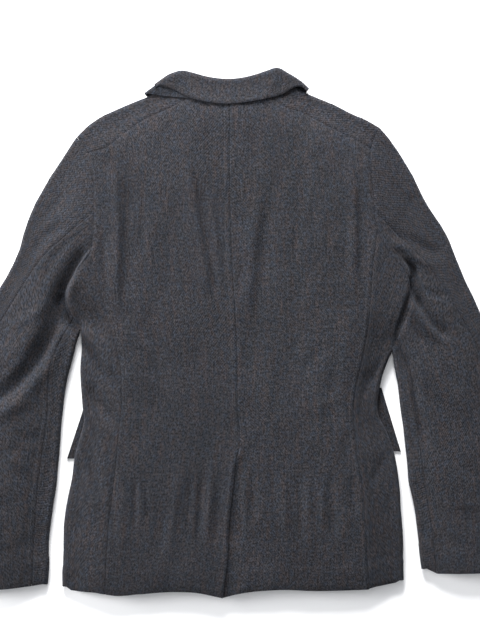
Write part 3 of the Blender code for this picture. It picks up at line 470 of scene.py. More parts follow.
def strokes(rows):
    """Straight creases as (line, width on the right hand, width on the left hand, height)."""
    return [(bent(*row[1:6]), row[6], row[6], row[7]) for row in rows]


FOLD_LINES = [(fine_line(line, 5), right, left, height) for _, height, right, left, line in FOLDS]
DEEP_LINES = [(fine_line(line, 5), right, left, height) for _, height, right, left, line in DEEP_FOLDS]
CREASE_LINES = strokes(CREASES)
LOW_LINES = strokes(LOW_CREASES)


def stroke_height(flat, lines):
    """Sum of soft troughs and ridges: a bell across each line, steeper on one side, faded at its ends."""
    z = np.zeros(len(flat))
    for line, right, left, height in lines:
        reach = 3 * max(right, left)
        near = ((flat > line.min(axis=0) - reach) & (flat < line.max(axis=0) + reach)).all(axis=1)
        if near.any():
            gap, along, on_left = distance_to(line, flat[near])
            fade = ease(along / 0.3) * ease((1 - along) / 0.3) * 0.85 + 0.15
            z[near] += height * fade * np.exp(-(gap / np.where(on_left, left, right)) ** 2)
    return z


def outline_gap(flat):
    edge = np.full(len(flat), 1e9)
    for line in OUTLINES:
        edge = np.minimum(edge, distance_to(line, flat)[0])
    return edge


def top_height(xy):
    """Height of the upper layer: a crown that falls towards the folds, with the large folds on it."""
    flat = np.asarray(xy, float).reshape(-1, 2)
    edge = outline_gap(flat)
    rise = 1 - np.exp(-(np.maximum(edge - FOLD_REACH, 0) / CROWN_REACH) ** 2)
    z = RIM_HEIGHT + CROWN * rise - HEM_DROP * np.exp(-np.maximum(flat[:, 1] + 372, 0) / HEM_REACH)
    z += stroke_height(flat, FOLD_LINES) * ease((edge - FOLD_REACH + 2) / 7)
    z += stroke_height(flat, DEEP_LINES) * ease((edge + 2) / 8)
    # No fold reaches the layer below: heights under LOWEST_TOP are eased up to it
    z = LOWEST_TOP + np.log1p(np.exp(np.clip((z - LOWEST_TOP) * 1.4, -30, 30))) / 1.4
    return z.reshape(np.shape(xy)[:-1])


WAVES = np.random.default_rng(11).uniform(-1, 1, (26, 4))


def unevenness(xy, size, height):
    """Slow unevenness of pressed wool: waves of about one size in many directions, summed."""
    z = np.zeros(xy.shape[:-1])
    for a, b, c, d in WAVES:
        angle = a * math.pi
        step = 2 * math.pi / (size * (1 + 0.45 * b))
        z += np.sin((xy[..., 0] * math.cos(angle) + xy[..., 1] * math.sin(angle) * 0.6) * step + 9 * c)
    return z * height / math.sqrt(len(WAVES))


def low_height(xy, side):
    """Height of the lower layer's outside: on the table, and over what lies under it."""
    x, y = xy[..., 0], xy[..., 1]
    reach = np.interp(y, [-400, 40, 180, 290, 360], [58, 62, 130, 172, 182])
    centre = CENTRE_LIFT * ease((reach + 30 - np.abs(x)) / 30)
    flap = FLAP_LIFT * ease((y + 262) / 30) * ease((-24 - y) / 30)
    z = np.maximum(centre, flap)
    if side > 0:
        z = z + (WALL + 0.5) * ease((92 - x) / 34) * ease((205 - y) / 40)
    return z


def grid_normals(points, up):
    """Unit normals from the grid's two directions, turned to the given side."""
    rows, columns = np.gradient(points, axis=0), np.gradient(points, axis=1)
    normal = np.cross(rows, columns)
    normal /= np.maximum(np.linalg.norm(normal, axis=-1), 1e-9)[..., None]
    turn = np.where(normal[..., 2] * up < 0, -1.0, 1.0)
    return normal * turn[..., None]


def surface(height, xy, up=1):
    """Points of a height over plan points, with unit normals."""
    points = np.concatenate([xy, height(xy)[..., None]], axis=-1)
    return points, grid_normals(points, up)


def rim(high_xy, low_xy, way, high_z, low_z, reach=FOLD_REACH, steps=RIM_STEPS):
    """Half an ellipse round a fold, without its two ends."""
    angle = (math.pi / 2 - math.pi * np.arange(1, steps) / steps)[:, None, None]
    half = ((high_z - low_z) / 2)[None, :, None]
    share = (1 - np.sin(angle)) / 2
    xy = high_xy[None] * (1 - share) + low_xy[None] * share + way[None] * reach * np.cos(angle)
    z = ((high_z + low_z) / 2)[None, :, None] + half * np.sin(angle)
    normal = np.concatenate([way[None] * half * np.cos(angle),
                             np.broadcast_to(reach * np.sin(angle), xy[..., :1].shape)], axis=-1)
    normal /= np.linalg.norm(normal, axis=-1)[..., None]
    return np.concatenate([xy, z], axis=-1), normal


def outward(line, inside):
    """Unit normals of a fold line that point away from a plan point."""
    normal = left_normals(line)
    middle = len(line) // 2
    if normal[middle] @ (line[middle] - np.array(inside)) < 0:
        normal = -normal
    return normal


def eased_ways(way, first, over):
    """Fold directions that turn smoothly from a given one over the first steps."""
    first = np.array(first) / np.hypot(*first)
    share = (1 - ease(np.arange(len(way)) / over))[:, None]
    mixed = way * (1 - share) + first * share
    return mixed / np.hypot(mixed[:, 0], mixed[:, 1])[:, None]


def seams_of(t):
    """Every seam and fold that two pieces share, as plan points."""
    armhole = fine_line(t["armhole"])
    cap = np.array(t["cap_way"]) / np.hypot(*t["cap_way"])
    crotch = np.array(t["crotch_way"]) / np.hypot(*t["crotch_way"])
    armhole = armhole[(armhole - armhole[0]) @ -cap > FOLD_REACH - 0.01]
    top = np.array(t["armhole"][0]) - cap * FOLD_REACH
    low = np.array(t["armhole"][-1]) - crotch * FOLD_REACH
    near_end = np.arange(len(armhole)) > nearest(armhole, t["forearm_end"])
    armhole = armhole[~(near_end & ((armhole - armhole[-1]) @ -crotch < FOLD_REACH))]
    armhole = np.vstack([top, armhole, low])
    names = ("cap_front", "cap_high", "cap_low", "side_top", "underarm", "tip")
    marks = [t[k] for k in ("seam_end", "hindarm_end", "side_end", "hook", "forearm_end")]
    counts = (N_CAP_FRONT, N_CAP_HIGH, N_CAP_LOW, N_SIDE_TOP, N_UNDERARM, N_TIP)
    s = dict(zip(names, stretches(armhole, marks, counts)))
    floor = fine_line(t["floor_armhole"])
    floor = np.vstack([top, floor[(floor - floor[0]) @ -cap > FOLD_REACH]])
    s["floor_cap"] = stations(floor, N_FLOOR_CAP)
    s["floor_low"] = np.array([t["floor_turn"], t["floor_side"], low], float)
    s["side_seam"] = stations(fine_line(t["side_seam"]), N_UNDERARM + N_TIP + N_SIDE_LOW)
    s["floor_seam"] = stations(fine_line(t["floor_seam"]), N_SIDE_LOW // 2)
    for key, count, first, centre in (
        ("side_fold", N_SIDE_LOW, crotch, (t["side"] * 150, -100)),
        ("sleeve_inner", N_SLEEVE, crotch, (t["side"] * 345, -180)),
        ("shoulder_fold", N_SHOULDER, cap, (t["side"] * 120, 200)),
    ):
        line = stations(fine_line(t[key]), count)
        way = eased_ways(outward(line, centre), first, FINER)
        s[key + "_way"] = way
        s[key] = line - way * FOLD_REACH
    outer = fine_line(t["sleeve_outer"])
    split = nearest(outer, (t["side"] * 320, 100))
    line = chain(stations(outer[:split + 1], N_SIDE_TOP + N_UNDERARM), stations(outer[split:], N_SLEEVE))
    way = eased_ways(outward(line, (t["side"] * 300, -100)), cap, FINER)
    s["sleeve_outer_way"] = way
    s["sleeve_outer"] = line - way * FOLD_REACH
    s["hindarm"] = stations(fine_line(t["hindarm"]), N_SIDE_TOP + N_UNDERARM + N_SLEEVE)
    s["forearm"] = stations(fine_line(t["forearm"]), N_SLEEVE)
    s["shoulder_seam"] = stations(fine_line(t["shoulder_seam"]), N_SHOULDER)
    s["neck"] = stations(fine_line(t["neck"]), N_NECK)
    low_part, high_part = stretches(fine_line(CENTRE_SEAM), [VENT_TOP], (N_VENT, N_CENTRE_HIGH))
    s["centre"] = chain(low_part, high_part)
    s["vent"] = low_part
    return s


SEAMS = {"left": seams_of(LEFT), "right": seams_of(RIGHT)}
TABLES = {"left": LEFT, "right": RIGHT}


# Relief of sewn edges, in millimetres along the cloth's normal
def rolled(gap, depth=0.9, width=1.1):
    """A seam's edge turns down into the seam."""
    return -depth * np.exp(-(gap / width) ** 2)


def layered(gap, width, height):
    """Cloth stands a little higher over the seam allowance under it."""
    return height * (1 - ease((gap - width + 1.5) / 3))


def stitched(gap, at, depth=0.4):
    """The cloth is pulled in along a line of stitches."""
    return -depth * np.exp(-((gap - at) / 1.2) ** 2)


def sewn_relief(xy, specs, settings):
    """Sum of the relief of every sewn line near a piece."""
    z = np.zeros(xy.shape[:-1])
    for line, kind, *sizes in specs:
        gap = gap_to(line, xy, 60 if kind == "hem" else 14)
        if kind == "seam":
            z += rolled(gap, settings.seam_depth) + layered(gap, 8, 0.3)
        elif kind == "topstitch":
            z += rolled(gap, settings.seam_depth) + layered(gap, sizes[0] + 1, 0.55)
            z += stitched(gap, sizes[0])
        elif kind == "edge":
            z += rolled(gap, 0.8, 1.2)
        elif kind == "edgestitch":
            z += rolled(gap, 0.8, 1.2) + stitched(gap, sizes[0])
        elif kind == "hem":
            z += rolled(gap, 0.9, 1.4) + layered(gap, sizes[0], 0.7)
    return z


def cloth_relief(xy, settings):
    """The wool's own unevenness and its small creases."""
    z = unevenness(xy, 46, 0.42) + unevenness(xy + 300, 17, 0.13)
    return z + stroke_height(xy.reshape(-1, 2), CREASE_LINES).reshape(z.shape) * settings.crease_depth


def hidden_relief(xy):
    """The side on the table: soft hollows that rise off it, and never reach below it."""
    z = 0.35 + unevenness(xy, 52, 0.5) + stroke_height(xy.reshape(-1, 2), LOW_LINES).reshape(xy.shape[:-1])
    return np.maximum(z, 0)


def linear(code):
    """An sRGB hex colour as linear red, green and blue."""
    parts = [int(code[k:k + 2], 16) / 255 for k in (1, 3, 5)]
    return tuple(c / 12.92 if c <= 0.04045 else ((c + 0.055) / 1.055) ** 2.4 for c in parts)


def node(tree, kind, inputs=(), **settings):
    """Adds a node with its settings. inputs pairs a socket with a value or with another node's output."""
    made = tree.nodes.new(kind)
    for key, value in settings.items():
        setattr(made, key, value)
    for socket, value in dict(inputs).items():
        if isinstance(value, bpy.types.NodeSocket):
            tree.links.new(value, made.inputs[socket])
        else:
            made.inputs[socket].default_value = value
    return made.outputs


def material(name, roughness, sheen=0.0, tint=(1, 1, 1), specular=0.5):
    """A new material with its uniform values on the shader's own sockets."""
    made = bpy.data.materials.get(name)
    if made is not None:
        return made, None, None
    made = bpy.data.materials.new(name)
    made.use_nodes = True
    shader = made.node_tree.nodes["Principled BSDF"]
    shader.inputs["Roughness"].default_value = roughness
    shader.inputs["Sheen Weight"].default_value = sheen
    shader.inputs["Sheen Roughness"].default_value = 0.5
    shader.inputs["Sheen Tint"].default_value = (*tint, 1)
    shader.inputs["Specular IOR Level"].default_value = specular
    return made, made.node_tree, shader


def mixed(tree, factor, a, b, blend="MIX"):
    made = node(tree, "ShaderNodeMix", {0: factor, 6: a, 7: b}, data_type="RGBA", blend_type=blend)
    return made[2]


def threads(tree, scale, detail=2.0, rough=0.6):
    """Noise laid along the cloth's grain: scale is in metres across and along one streak."""
    grain = node(tree, "ShaderNodeUVMap", uv_map="Grain")[0]
    size = (1 / scale[0], 1 / scale[1], 1)
    placed = node(tree, "ShaderNodeMapping", {0: grain, 3: size}, vector_type="POINT")[0]
    inputs = {"Vector": placed, "Scale": 1.0, "Detail": detail, "Roughness": rough}
    return node(tree, "ShaderNodeTexNoise", inputs)[0]


def spread(tree, value, low, high, bottom=0.0, top=1.0):
    inputs = {0: value, 1: low, 2: high, 3: bottom, 4: top}
    return node(tree, "ShaderNodeMapRange", inputs, clamp=True)[0]


def wool(name, base, brown, blue):
    """Milled wool: matt, with a short nap, mixed-fibre colour and a soft vertical slub."""
    made, tree, shader = material(name, 0.94, sheen=0.16, tint=linear("#8f93a0"), specular=0.14)
    if tree is None:
        return made
    place = node(tree, "ShaderNodeTexCoord")["Object"]
    # Fibres of several dyes are spun together, which shows as 2 to 3 mm flecks of pale and dark
    fleck = spread(tree, threads(tree, (0.0024, 0.003), 1.5, 0.5), 0.33, 0.67)
    speck = spread(tree, threads(tree, (0.0052, 0.0075), 1.0, 0.5), 0.36, 0.64)
    warm = spread(tree, threads(tree, (0.0065, 0.06), 2.0, 0.5), 0.42, 0.72)
    cool = spread(tree, node(tree, "ShaderNodeTexNoise", {"Vector": place, "Scale": 150.0,
                                                        "Detail": 2.0, "Roughness": 0.6})[0],
                  0.42, 0.66)
    slub = spread(tree, threads(tree, (0.0026, 0.04), 2.0, 0.6), 0.3, 0.7)
    cloud = spread(tree, node(tree, "ShaderNodeTexNoise", {"Vector": place, "Scale": 11.0,
                                                         "Detail": 3.0, "Roughness": 0.55})[0],
                   0.3, 0.7)
    colour = mixed(tree, spread(tree, warm, 0, 1, 0, 0.4), (*base, 1), (*brown, 1))
    colour = mixed(tree, spread(tree, cool, 0, 1, 0, 0.55), colour, (*blue, 1))
    for value, low, high in (
        (fleck, 0.42, 1.62),
        (speck, 0.84, 1.16),
        (slub, 0.93, 1.06),
        (cloud, 0.87, 1.1),
    ):
        shade = mixed(tree, value, (low, low, low, 1), (high, high, high, 1))
        colour = mixed(tree, 1.0, colour, shade, "MULTIPLY")
    # A broken twill of 2.6 mm, drawn twice as coarse as it is, so that the render shows it
    grain = node(tree, "ShaderNodeUVMap", uv_map="Grain")[0]
    turned = node(tree, "ShaderNodeMapping", {0: grain, 2: (0, 0, math.radians(38)), 3: (120, 120, 1)})[0]
    twill = node(tree, "ShaderNodeTexWave", {"Vector": turned, "Scale": 1.0, "Distortion": 2.4,
                                             "Detail": 2.0, "Detail Scale": 1.6})[1]
    shade = mixed(tree, twill, (0.88, 0.88, 0.88, 1), (1.1, 1.1, 1.1, 1))
    colour = mixed(tree, 1.0, colour, shade, "MULTIPLY")
    tree.links.new(colour, shader.inputs["Base Color"])
    nap = node(tree, "ShaderNodeTexNoise", {"Vector": place, "Scale": 420.0, "Detail": 3.0,
                                            "Roughness": 0.65})[0]
    low = node(tree, "ShaderNodeBump", {"Strength": 0.35, "Distance": 0.0006, "Height": twill})[0]
    low = node(tree, "ShaderNodeBump", {"Strength": 0.4, "Distance": 0.0007, "Height": slub, "Normal": low})[0]
    bump = node(tree, "ShaderNodeBump", {"Strength": 0.6, "Distance": 0.0008, "Height": nap, "Normal": low})[0]
    tree.links.new(bump, shader.inputs["Normal"])
    return made


def horn(name, base, light):
    """Cast polyester resin that looks like horn: dark, in cloudy layers, with a low satin gloss."""
    made, tree, shader = material(name, 0.32, specular=0.5)
    if tree is None:
        return made
    place = node(tree, "ShaderNodeTexCoord")["Object"]
    turned = node(tree, "ShaderNodeMapping", {0: place, 2: (0.2, 0.1, 0.5), 3: (90, 320, 90)})[0]
    cloud = node(tree, "ShaderNodeTexNoise", {"Vector": turned, "Scale": 1.0, "Detail": 4.0,
                                              "Roughness": 0.6})[0]
    colour = mixed(tree, spread(tree, cloud, 0.46, 0.72), (*base, 1), (*light, 1))
    tree.links.new(colour, shader.inputs["Base Color"])
    scratch = node(tree, "ShaderNodeBump", {"Strength": 0.1, "Distance": 0.0002, "Height": cloud})[0]
    tree.links.new(scratch, shader.inputs["Normal"])
    return made


def thread(name, base):
    """Spun polyester sewing thread: a slight gloss, with its plies drawn as a fine bump."""
    made, tree, shader = material(name, 0.6, sheen=0.15, specular=0.4)
    if tree is None:
        return made
    place = node(tree, "ShaderNodeTexCoord")["Object"]
    ply = node(tree, "ShaderNodeTexNoise", {"Vector": place, "Scale": 1500.0, "Detail": 1.0})[0]
    colour = mixed(tree, ply, (*(c * 0.75 for c in base), 1), (*(c * 1.3 for c in base), 1))
    tree.links.new(colour, shader.inputs["Base Color"])
    bump = node(tree, "ShaderNodeBump", {"Strength": 0.4, "Distance": 0.0002, "Height": ply})[0]
    tree.links.new(bump, shader.inputs["Normal"])
    return made


def table_top(name, base):
    """Pale painted board: matt, almost even, with a faint orange-peel."""
    made, tree, shader = material(name, 0.85, specular=0.2)
    if tree is None:
        return made
    place = node(tree, "ShaderNodeTexCoord")["Object"]
    cloud = node(tree, "ShaderNodeTexNoise", {"Vector": place, "Scale": 5.0, "Detail": 3.0})[0]
    colour = mixed(tree, cloud, (*(c * 0.97 for c in base), 1), (*base, 1))
    tree.links.new(colour, shader.inputs["Base Color"])
    peel = node(tree, "ShaderNodeTexNoise", {"Vector": place, "Scale": 160.0, "Detail": 2.0})[0]
    bump = node(tree, "ShaderNodeBump", {"Strength": 0.15, "Distance": 0.0005, "Height": peel})[0]
    tree.links.new(bump, shader.inputs["Normal"])
    return made


def cloth_wool():
    colours = bpy.context.scene.blazer_colours
    return wool("milled_wool", colours.wool, colours.wool_brown, colours.wool_blue)


def felt_wool():
    colours = bpy.context.scene.blazer_colours
    return wool("undercollar_melton", colours.felt, colours.wool, colours.wool_blue)


def mesh_of(name, vertices, faces, finish, grain=None):
    """A smooth mesh object at the origin, from millimetres of the plan."""
    mesh = bpy.data.meshes.new(name)
    points = (vertices - SHIFT) * 0.001
    mesh.vertices.add(len(points))
    mesh.vertices.foreach_set("co", points.astype(np.float32).ravel())
    sides = faces.shape[1]
    mesh.loops.add(faces.size)
    mesh.loops.foreach_set("vertex_index", faces.astype(np.int32).ravel())
    mesh.polygons.add(len(faces))
    mesh.polygons.foreach_set("loop_start", np.arange(0, faces.size, sides, dtype=np.int32))
    mesh.update(calc_edges=True)
    if mesh.validate():
        raise RuntimeError(name + " has faces that aren't valid")
    if grain is not None:
        layer = mesh.uv_layers.new(name="Grain")
        layer.uv.foreach_set("vector", (grain[faces.ravel()] * 0.001).astype(np.float32).ravel())
    mesh.shade_smooth()
    mesh.set_sharp_from_angle(angle=math.radians(55))
    mesh.materials.append(finish)
    made = bpy.data.objects.new(name, mesh)
    bpy.context.scene.collection.objects.link(made)
    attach(made, "root")
    return made


def grain_of(points, mask):
    """Running length across and along each grid line, so that threads keep their spacing."""
    across = np.linalg.norm(np.diff(points, axis=1), axis=-1)
    along = np.linalg.norm(np.diff(points, axis=0), axis=-1)
    across[:-1] *= mask | (across[:-1] < 8)
    u = np.zeros(points.shape[:2])
    v = np.zeros(points.shape[:2])
    u[:, 1:] = np.cumsum(np.minimum(across, 8), axis=1)
    v[1:] = np.cumsum(np.minimum(along, 8), axis=0)
    middle = u.shape[1] // 2
    u -= u[:, middle:middle + 1]
    return np.stack([u, v], axis=-1)


def cut_of(points, mask):
    """The cut's width, length and area in metres: the longest row, the longest column, and all cells."""
    a, b, c, d = points[:-1, :-1], points[:-1, 1:], points[1:, 1:], points[1:, :-1]
    area = (np.linalg.norm(np.cross(c - a, d - b), axis=-1) / 2)[mask].sum()
    across = (np.linalg.norm(b - a, axis=-1) * mask).sum(axis=1).max()
    along = (np.linalg.norm(d - a, axis=-1) * mask).sum(axis=0).max()
    return across * 1e-3, along * 1e-3, area * 1e-6


CUTS = {}


def sew(name, points, normals, wall, finish, mask=None):
    """A closed wall of cloth: the outside grid, the same a wall further in, and the open edges joined."""
    rows, columns = points.shape[:2]
    mask = np.ones((rows - 1, columns - 1), bool) if mask is None else mask
    outer = points.reshape(-1, 3)
    inner = outer - normals.reshape(-1, 3) * wall
    outer = np.where(outer[:, 2:] < 0, outer * (1, 1, 0), outer)
    index = np.arange(rows * columns).reshape(rows, columns)
    quads = np.stack([index[:-1, :-1], index[:-1, 1:], index[1:, 1:], index[1:, :-1]], axis=-1)[mask]
    cross = np.cross(outer[quads[:, 2]] - outer[quads[:, 0]], outer[quads[:, 3]] - outer[quads[:, 1]])
    if (cross * normals.reshape(-1, 3)[quads[:, 0]]).sum() < 0:
        quads = quads[:, ::-1]
    total = len(outer)
    edges = np.concatenate([quads[:, [k, (k + 1) % 4]] for k in range(4)])
    key, back = edges[:, 0] * total + edges[:, 1], edges[:, 1] * total + edges[:, 0]
    a, b = edges[~np.isin(key, back)].T
    walls = np.stack([b, a, total + a, total + b], axis=1)
    faces = np.concatenate([quads, total + quads[:, ::-1], walls])
    used, number = np.unique(faces, return_inverse=True)
    grain = grain_of(points, mask).reshape(-1, 2)
    vertices = np.vstack([outer, inner])[used]
    made = mesh_of(name, vertices, number.reshape(faces.shape), finish, np.vstack([grain, grain])[used])
    width, length, area = cut_of(points, mask)
    CUTS[name] = (width, length, area)
    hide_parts(name.removesuffix("_cloth"))
    return made


def relieved(points, normals, specs, sizes):
    """Points moved along their normals by the relief of their plan place."""
    xy = points[..., :2]
    return points + normals * (cloth_relief(xy, sizes) + sewn_relief(xy, specs, sizes))[..., None]


def back_grid(t, s):
    first = chain(s["side_seam"][::-1], s["cap_low"][::-1], s["cap_high"][::-1])
    start = stations(fine_line(t["hem_back"]), N_HEM_BACK)
    start[0] = first[0]
    start[-1] = s["centre"][0]
    end = chain(s["shoulder_seam"], s["neck"])
    return patch(start, end, first, s["centre"], (0, SEAM_HALF, SEAM_HALF, SEAM_HALF))


def back_lines(t, s, left):
    """The sewn lines on a back panel: its seams, their topstitching and the hem."""
    hem = stations(fine_line(t["hem_back"]), 30)
    armhole = chain(s["cap_high"], s["cap_low"])
    lines = [
        (s["side_seam"][::3], "topstitch", SEAM_STITCH),
        (armhole[::2], "seam"),
        (s["shoulder_seam"][::3], "seam"),
        (hem, "hem", HEM_DEPTH),
    ]
    if left:
        lines.append((s["centre"][::4], "topstitch", CENTRE_STITCH))
    else:
        lines.append((s["centre"][N_VENT::4], "seam"))
    return lines


class BLAZER_OT_backs(bpy.types.Operator):
    """Two back panels with the centre seam, the vent and the strip that lies under it"""

    bl_idname = "blazer.backs"
    bl_label = "Back panels"

    def execute(self, context):
        sizes = context.scene.blazer_sizes
        left = back_grid(LEFT, SEAMS["left"])
        right = back_grid(RIGHT, SEAMS["right"])
        base, normals = surface(top_height, left)
        base = relieved(base, normals, [], sizes)
        lines = back_lines(LEFT, SEAMS["left"], True)
        points = base + normals * sewn_relief(left, lines, sizes)[..., None]
        sew("back_left_cloth", points, normals, WALL, cloth_wool())
        # The right panel dips under the left one along the vent
        right_points, right_normals = surface(top_height, right)
        lines = back_lines(RIGHT, SEAMS["right"], False)
        right_points = relieved(right_points, right_normals, lines, sizes)
        vent = N_VENT - FINER
        rows = ease((N_VENT - np.arange(right.shape[0])) / FINER)[:, None]
        run = np.arange(right.shape[1])[::-1][None]
        drop = rows * (1 - ease((run - 1) / (2.6 * FINER)))
        right_points[..., 2] -= drop * (WALL + VENT_GAP)
        lift = WALL + VENT_GAP
        under = (base - normals * lift)[:, -2:-2 - N_LAP:-1]
        right_points[:vent, -1] = (base - normals * lift)[:vent, -1]
        right_normals[:vent, -1] = normals[:vent, -1]
        grid = np.concatenate([right_points, under], axis=1)
        all_normals = np.concatenate([right_normals, normals[:, -2:-2 - N_LAP:-1]], axis=1)
        mask = np.ones((grid.shape[0] - 1, grid.shape[1] - 1), bool)
        mask[vent - 1:, -N_LAP:] = False
        sew("back_right_cloth", grid, all_normals, WALL, cloth_wool(), mask)
        return {"FINISHED"}


def make_side(side, sizes):
    """Side panel: the upper part, round the fold, and a strip on the table side."""
    t, s = TABLES[side], SEAMS[side]
    turn = N_UNDERARM + N_TIP
    first = chain(s["underarm"], s["tip"], s["side_fold"])
    last = s["side_seam"]
    hem = stations(fine_line(t["hem_side"]), N_SIDE_TOP)
    hem[0], hem[-1] = first[-1], last[-1]
    gap = np.where(np.arange(len(first)) <= turn, SEAM_HALF, 0)
    upper = patch(s["side_top"][::-1], hem, first, last, (SEAM_HALF, 0, gap, SEAM_HALF))
    floor_wide = 4 * FINER
    floor_start = refined(s["floor_low"][1:][::-1], floor_wide)
    floor_last = refined(s["floor_seam"], 2)
    floor_hem = refined(np.array([s["side_fold"][-1], floor_last[-1]]), floor_wide)
    lower = patch(floor_start, floor_hem, s["side_fold"], floor_last, (SEAM_HALF, 0, 0, SEAM_HALF))
    high, high_n = surface(top_height, upper)
    low, low_n = surface(lambda xy: low_height(xy, t["side"]), lower, up=-1)
    bend, bend_n = rim(upper[turn:, 0], lower[:, 0], s["side_fold_way"], high[turn:, 0, 2], low[:, 0, 2])
    hem_line = stations(fine_line(t["hem_side"]), 12)
    armhole = chain(s["side_top"], s["underarm"], s["tip"])
    lines = [(s["side_seam"][::3], "seam"), (armhole[::2], "seam"), (hem_line, "hem", HEM_DEPTH)]
    high = relieved(high, high_n, lines, sizes)
    bend = relieved(bend, bend_n, [(hem_line, "hem", HEM_DEPTH)], sizes)
    low[..., 2] += hidden_relief(low[..., :2]) * ease(np.arange(low.shape[1]) / 8)
    wide = N_SIDE_TOP + 1 + RIM_STEPS - 1 + floor_wide + 1
    grid = np.zeros((upper.shape[0], wide, 3))
    normal = np.zeros(grid.shape)
    normal[..., 2] = 1
    at = N_SIDE_TOP + 1
    grid[:, :at] = high[:, ::-1]
    normal[:, :at] = high_n[:, ::-1]
    grid[turn:, at:at + RIM_STEPS - 1] = bend.transpose(1, 0, 2)
    normal[turn:, at:at + RIM_STEPS - 1] = bend_n.transpose(1, 0, 2)
    grid[turn:, at + RIM_STEPS - 1:] = low
    normal[turn:, at + RIM_STEPS - 1:] = low_n
    mask = np.ones((upper.shape[0] - 1, wide - 1), bool)
    mask[:turn, N_SIDE_TOP:] = False
    sew("side_" + side + "_cloth", grid, normal, WALL, cloth_wool(), mask)


class BLAZER_OT_sides(bpy.types.Operator):
    """Two side panels that wrap from the back to the front, round the folds at the sides"""

    bl_idname = "blazer.sides"
    bl_label = "Side panels"

    def execute(self, context):
        for side in ("left", "right"):
            make_side(side, context.scene.blazer_sizes)
        return {"FINISHED"}


def make_front(side, sizes):
    """Front: on the table, round the shoulder fold, and up to the shoulder seam."""
    t, s = TABLES[side], SEAMS[side]
    first = chain(refined(s["floor_seam"][::-1], 2), refined(s["floor_low"][:2][::-1], 2 * FINER),
                  s["floor_cap"][::-1])
    last = stations(fine_line(t["front_edge"]), len(first) - 1)
    end = s["shoulder_fold"]
    last[-1] = end[-1]
    start = refined(np.array([first[0], last[0]]), N_SHOULDER)
    lower = patch(start, end, first, last, (0, 0, SEAM_HALF, 0))
    upper = patch(end, s["shoulder_seam"], s["cap_front"],
                  refined(np.array([end[-1], s["shoulder_seam"][-1]]), N_CAP_FRONT),
                  (0, SEAM_HALF, SEAM_HALF, 0))
    high, high_n = surface(top_height, upper)
    low, low_n = surface(lambda xy: low_height(xy, t["side"]), lower, up=-1)
    bend, bend_n = rim(upper[0], lower[-1], s["shoulder_fold_way"], high[0, :, 2], low[-1, :, 2])
    lines = [(s["shoulder_seam"][::3], "seam"), (s["cap_front"], "seam")]
    high = relieved(high, high_n, lines, sizes)
    bend = relieved(bend, bend_n, [], sizes)
    low[..., 2] += hidden_relief(low[..., :2]) * ease(np.arange(len(low))[::-1] / 8)[:, None]
    grid = np.concatenate([low, bend[::-1], high])
    normal = np.concatenate([low_n, bend_n[::-1], high_n])
    sew("front_" + side + "_cloth", grid, normal, WALL, cloth_wool())


class BLAZER_OT_fronts(bpy.types.Operator):
    """Two fronts on the table side, which turn over the shoulders to the forward shoulder seams"""

    bl_idname = "blazer.fronts"
    bl_label = "Fronts"

    def execute(self, context):
        for side in ("left", "right"):
            make_front(side, context.scene.blazer_sizes)
        return {"FINISHED"}


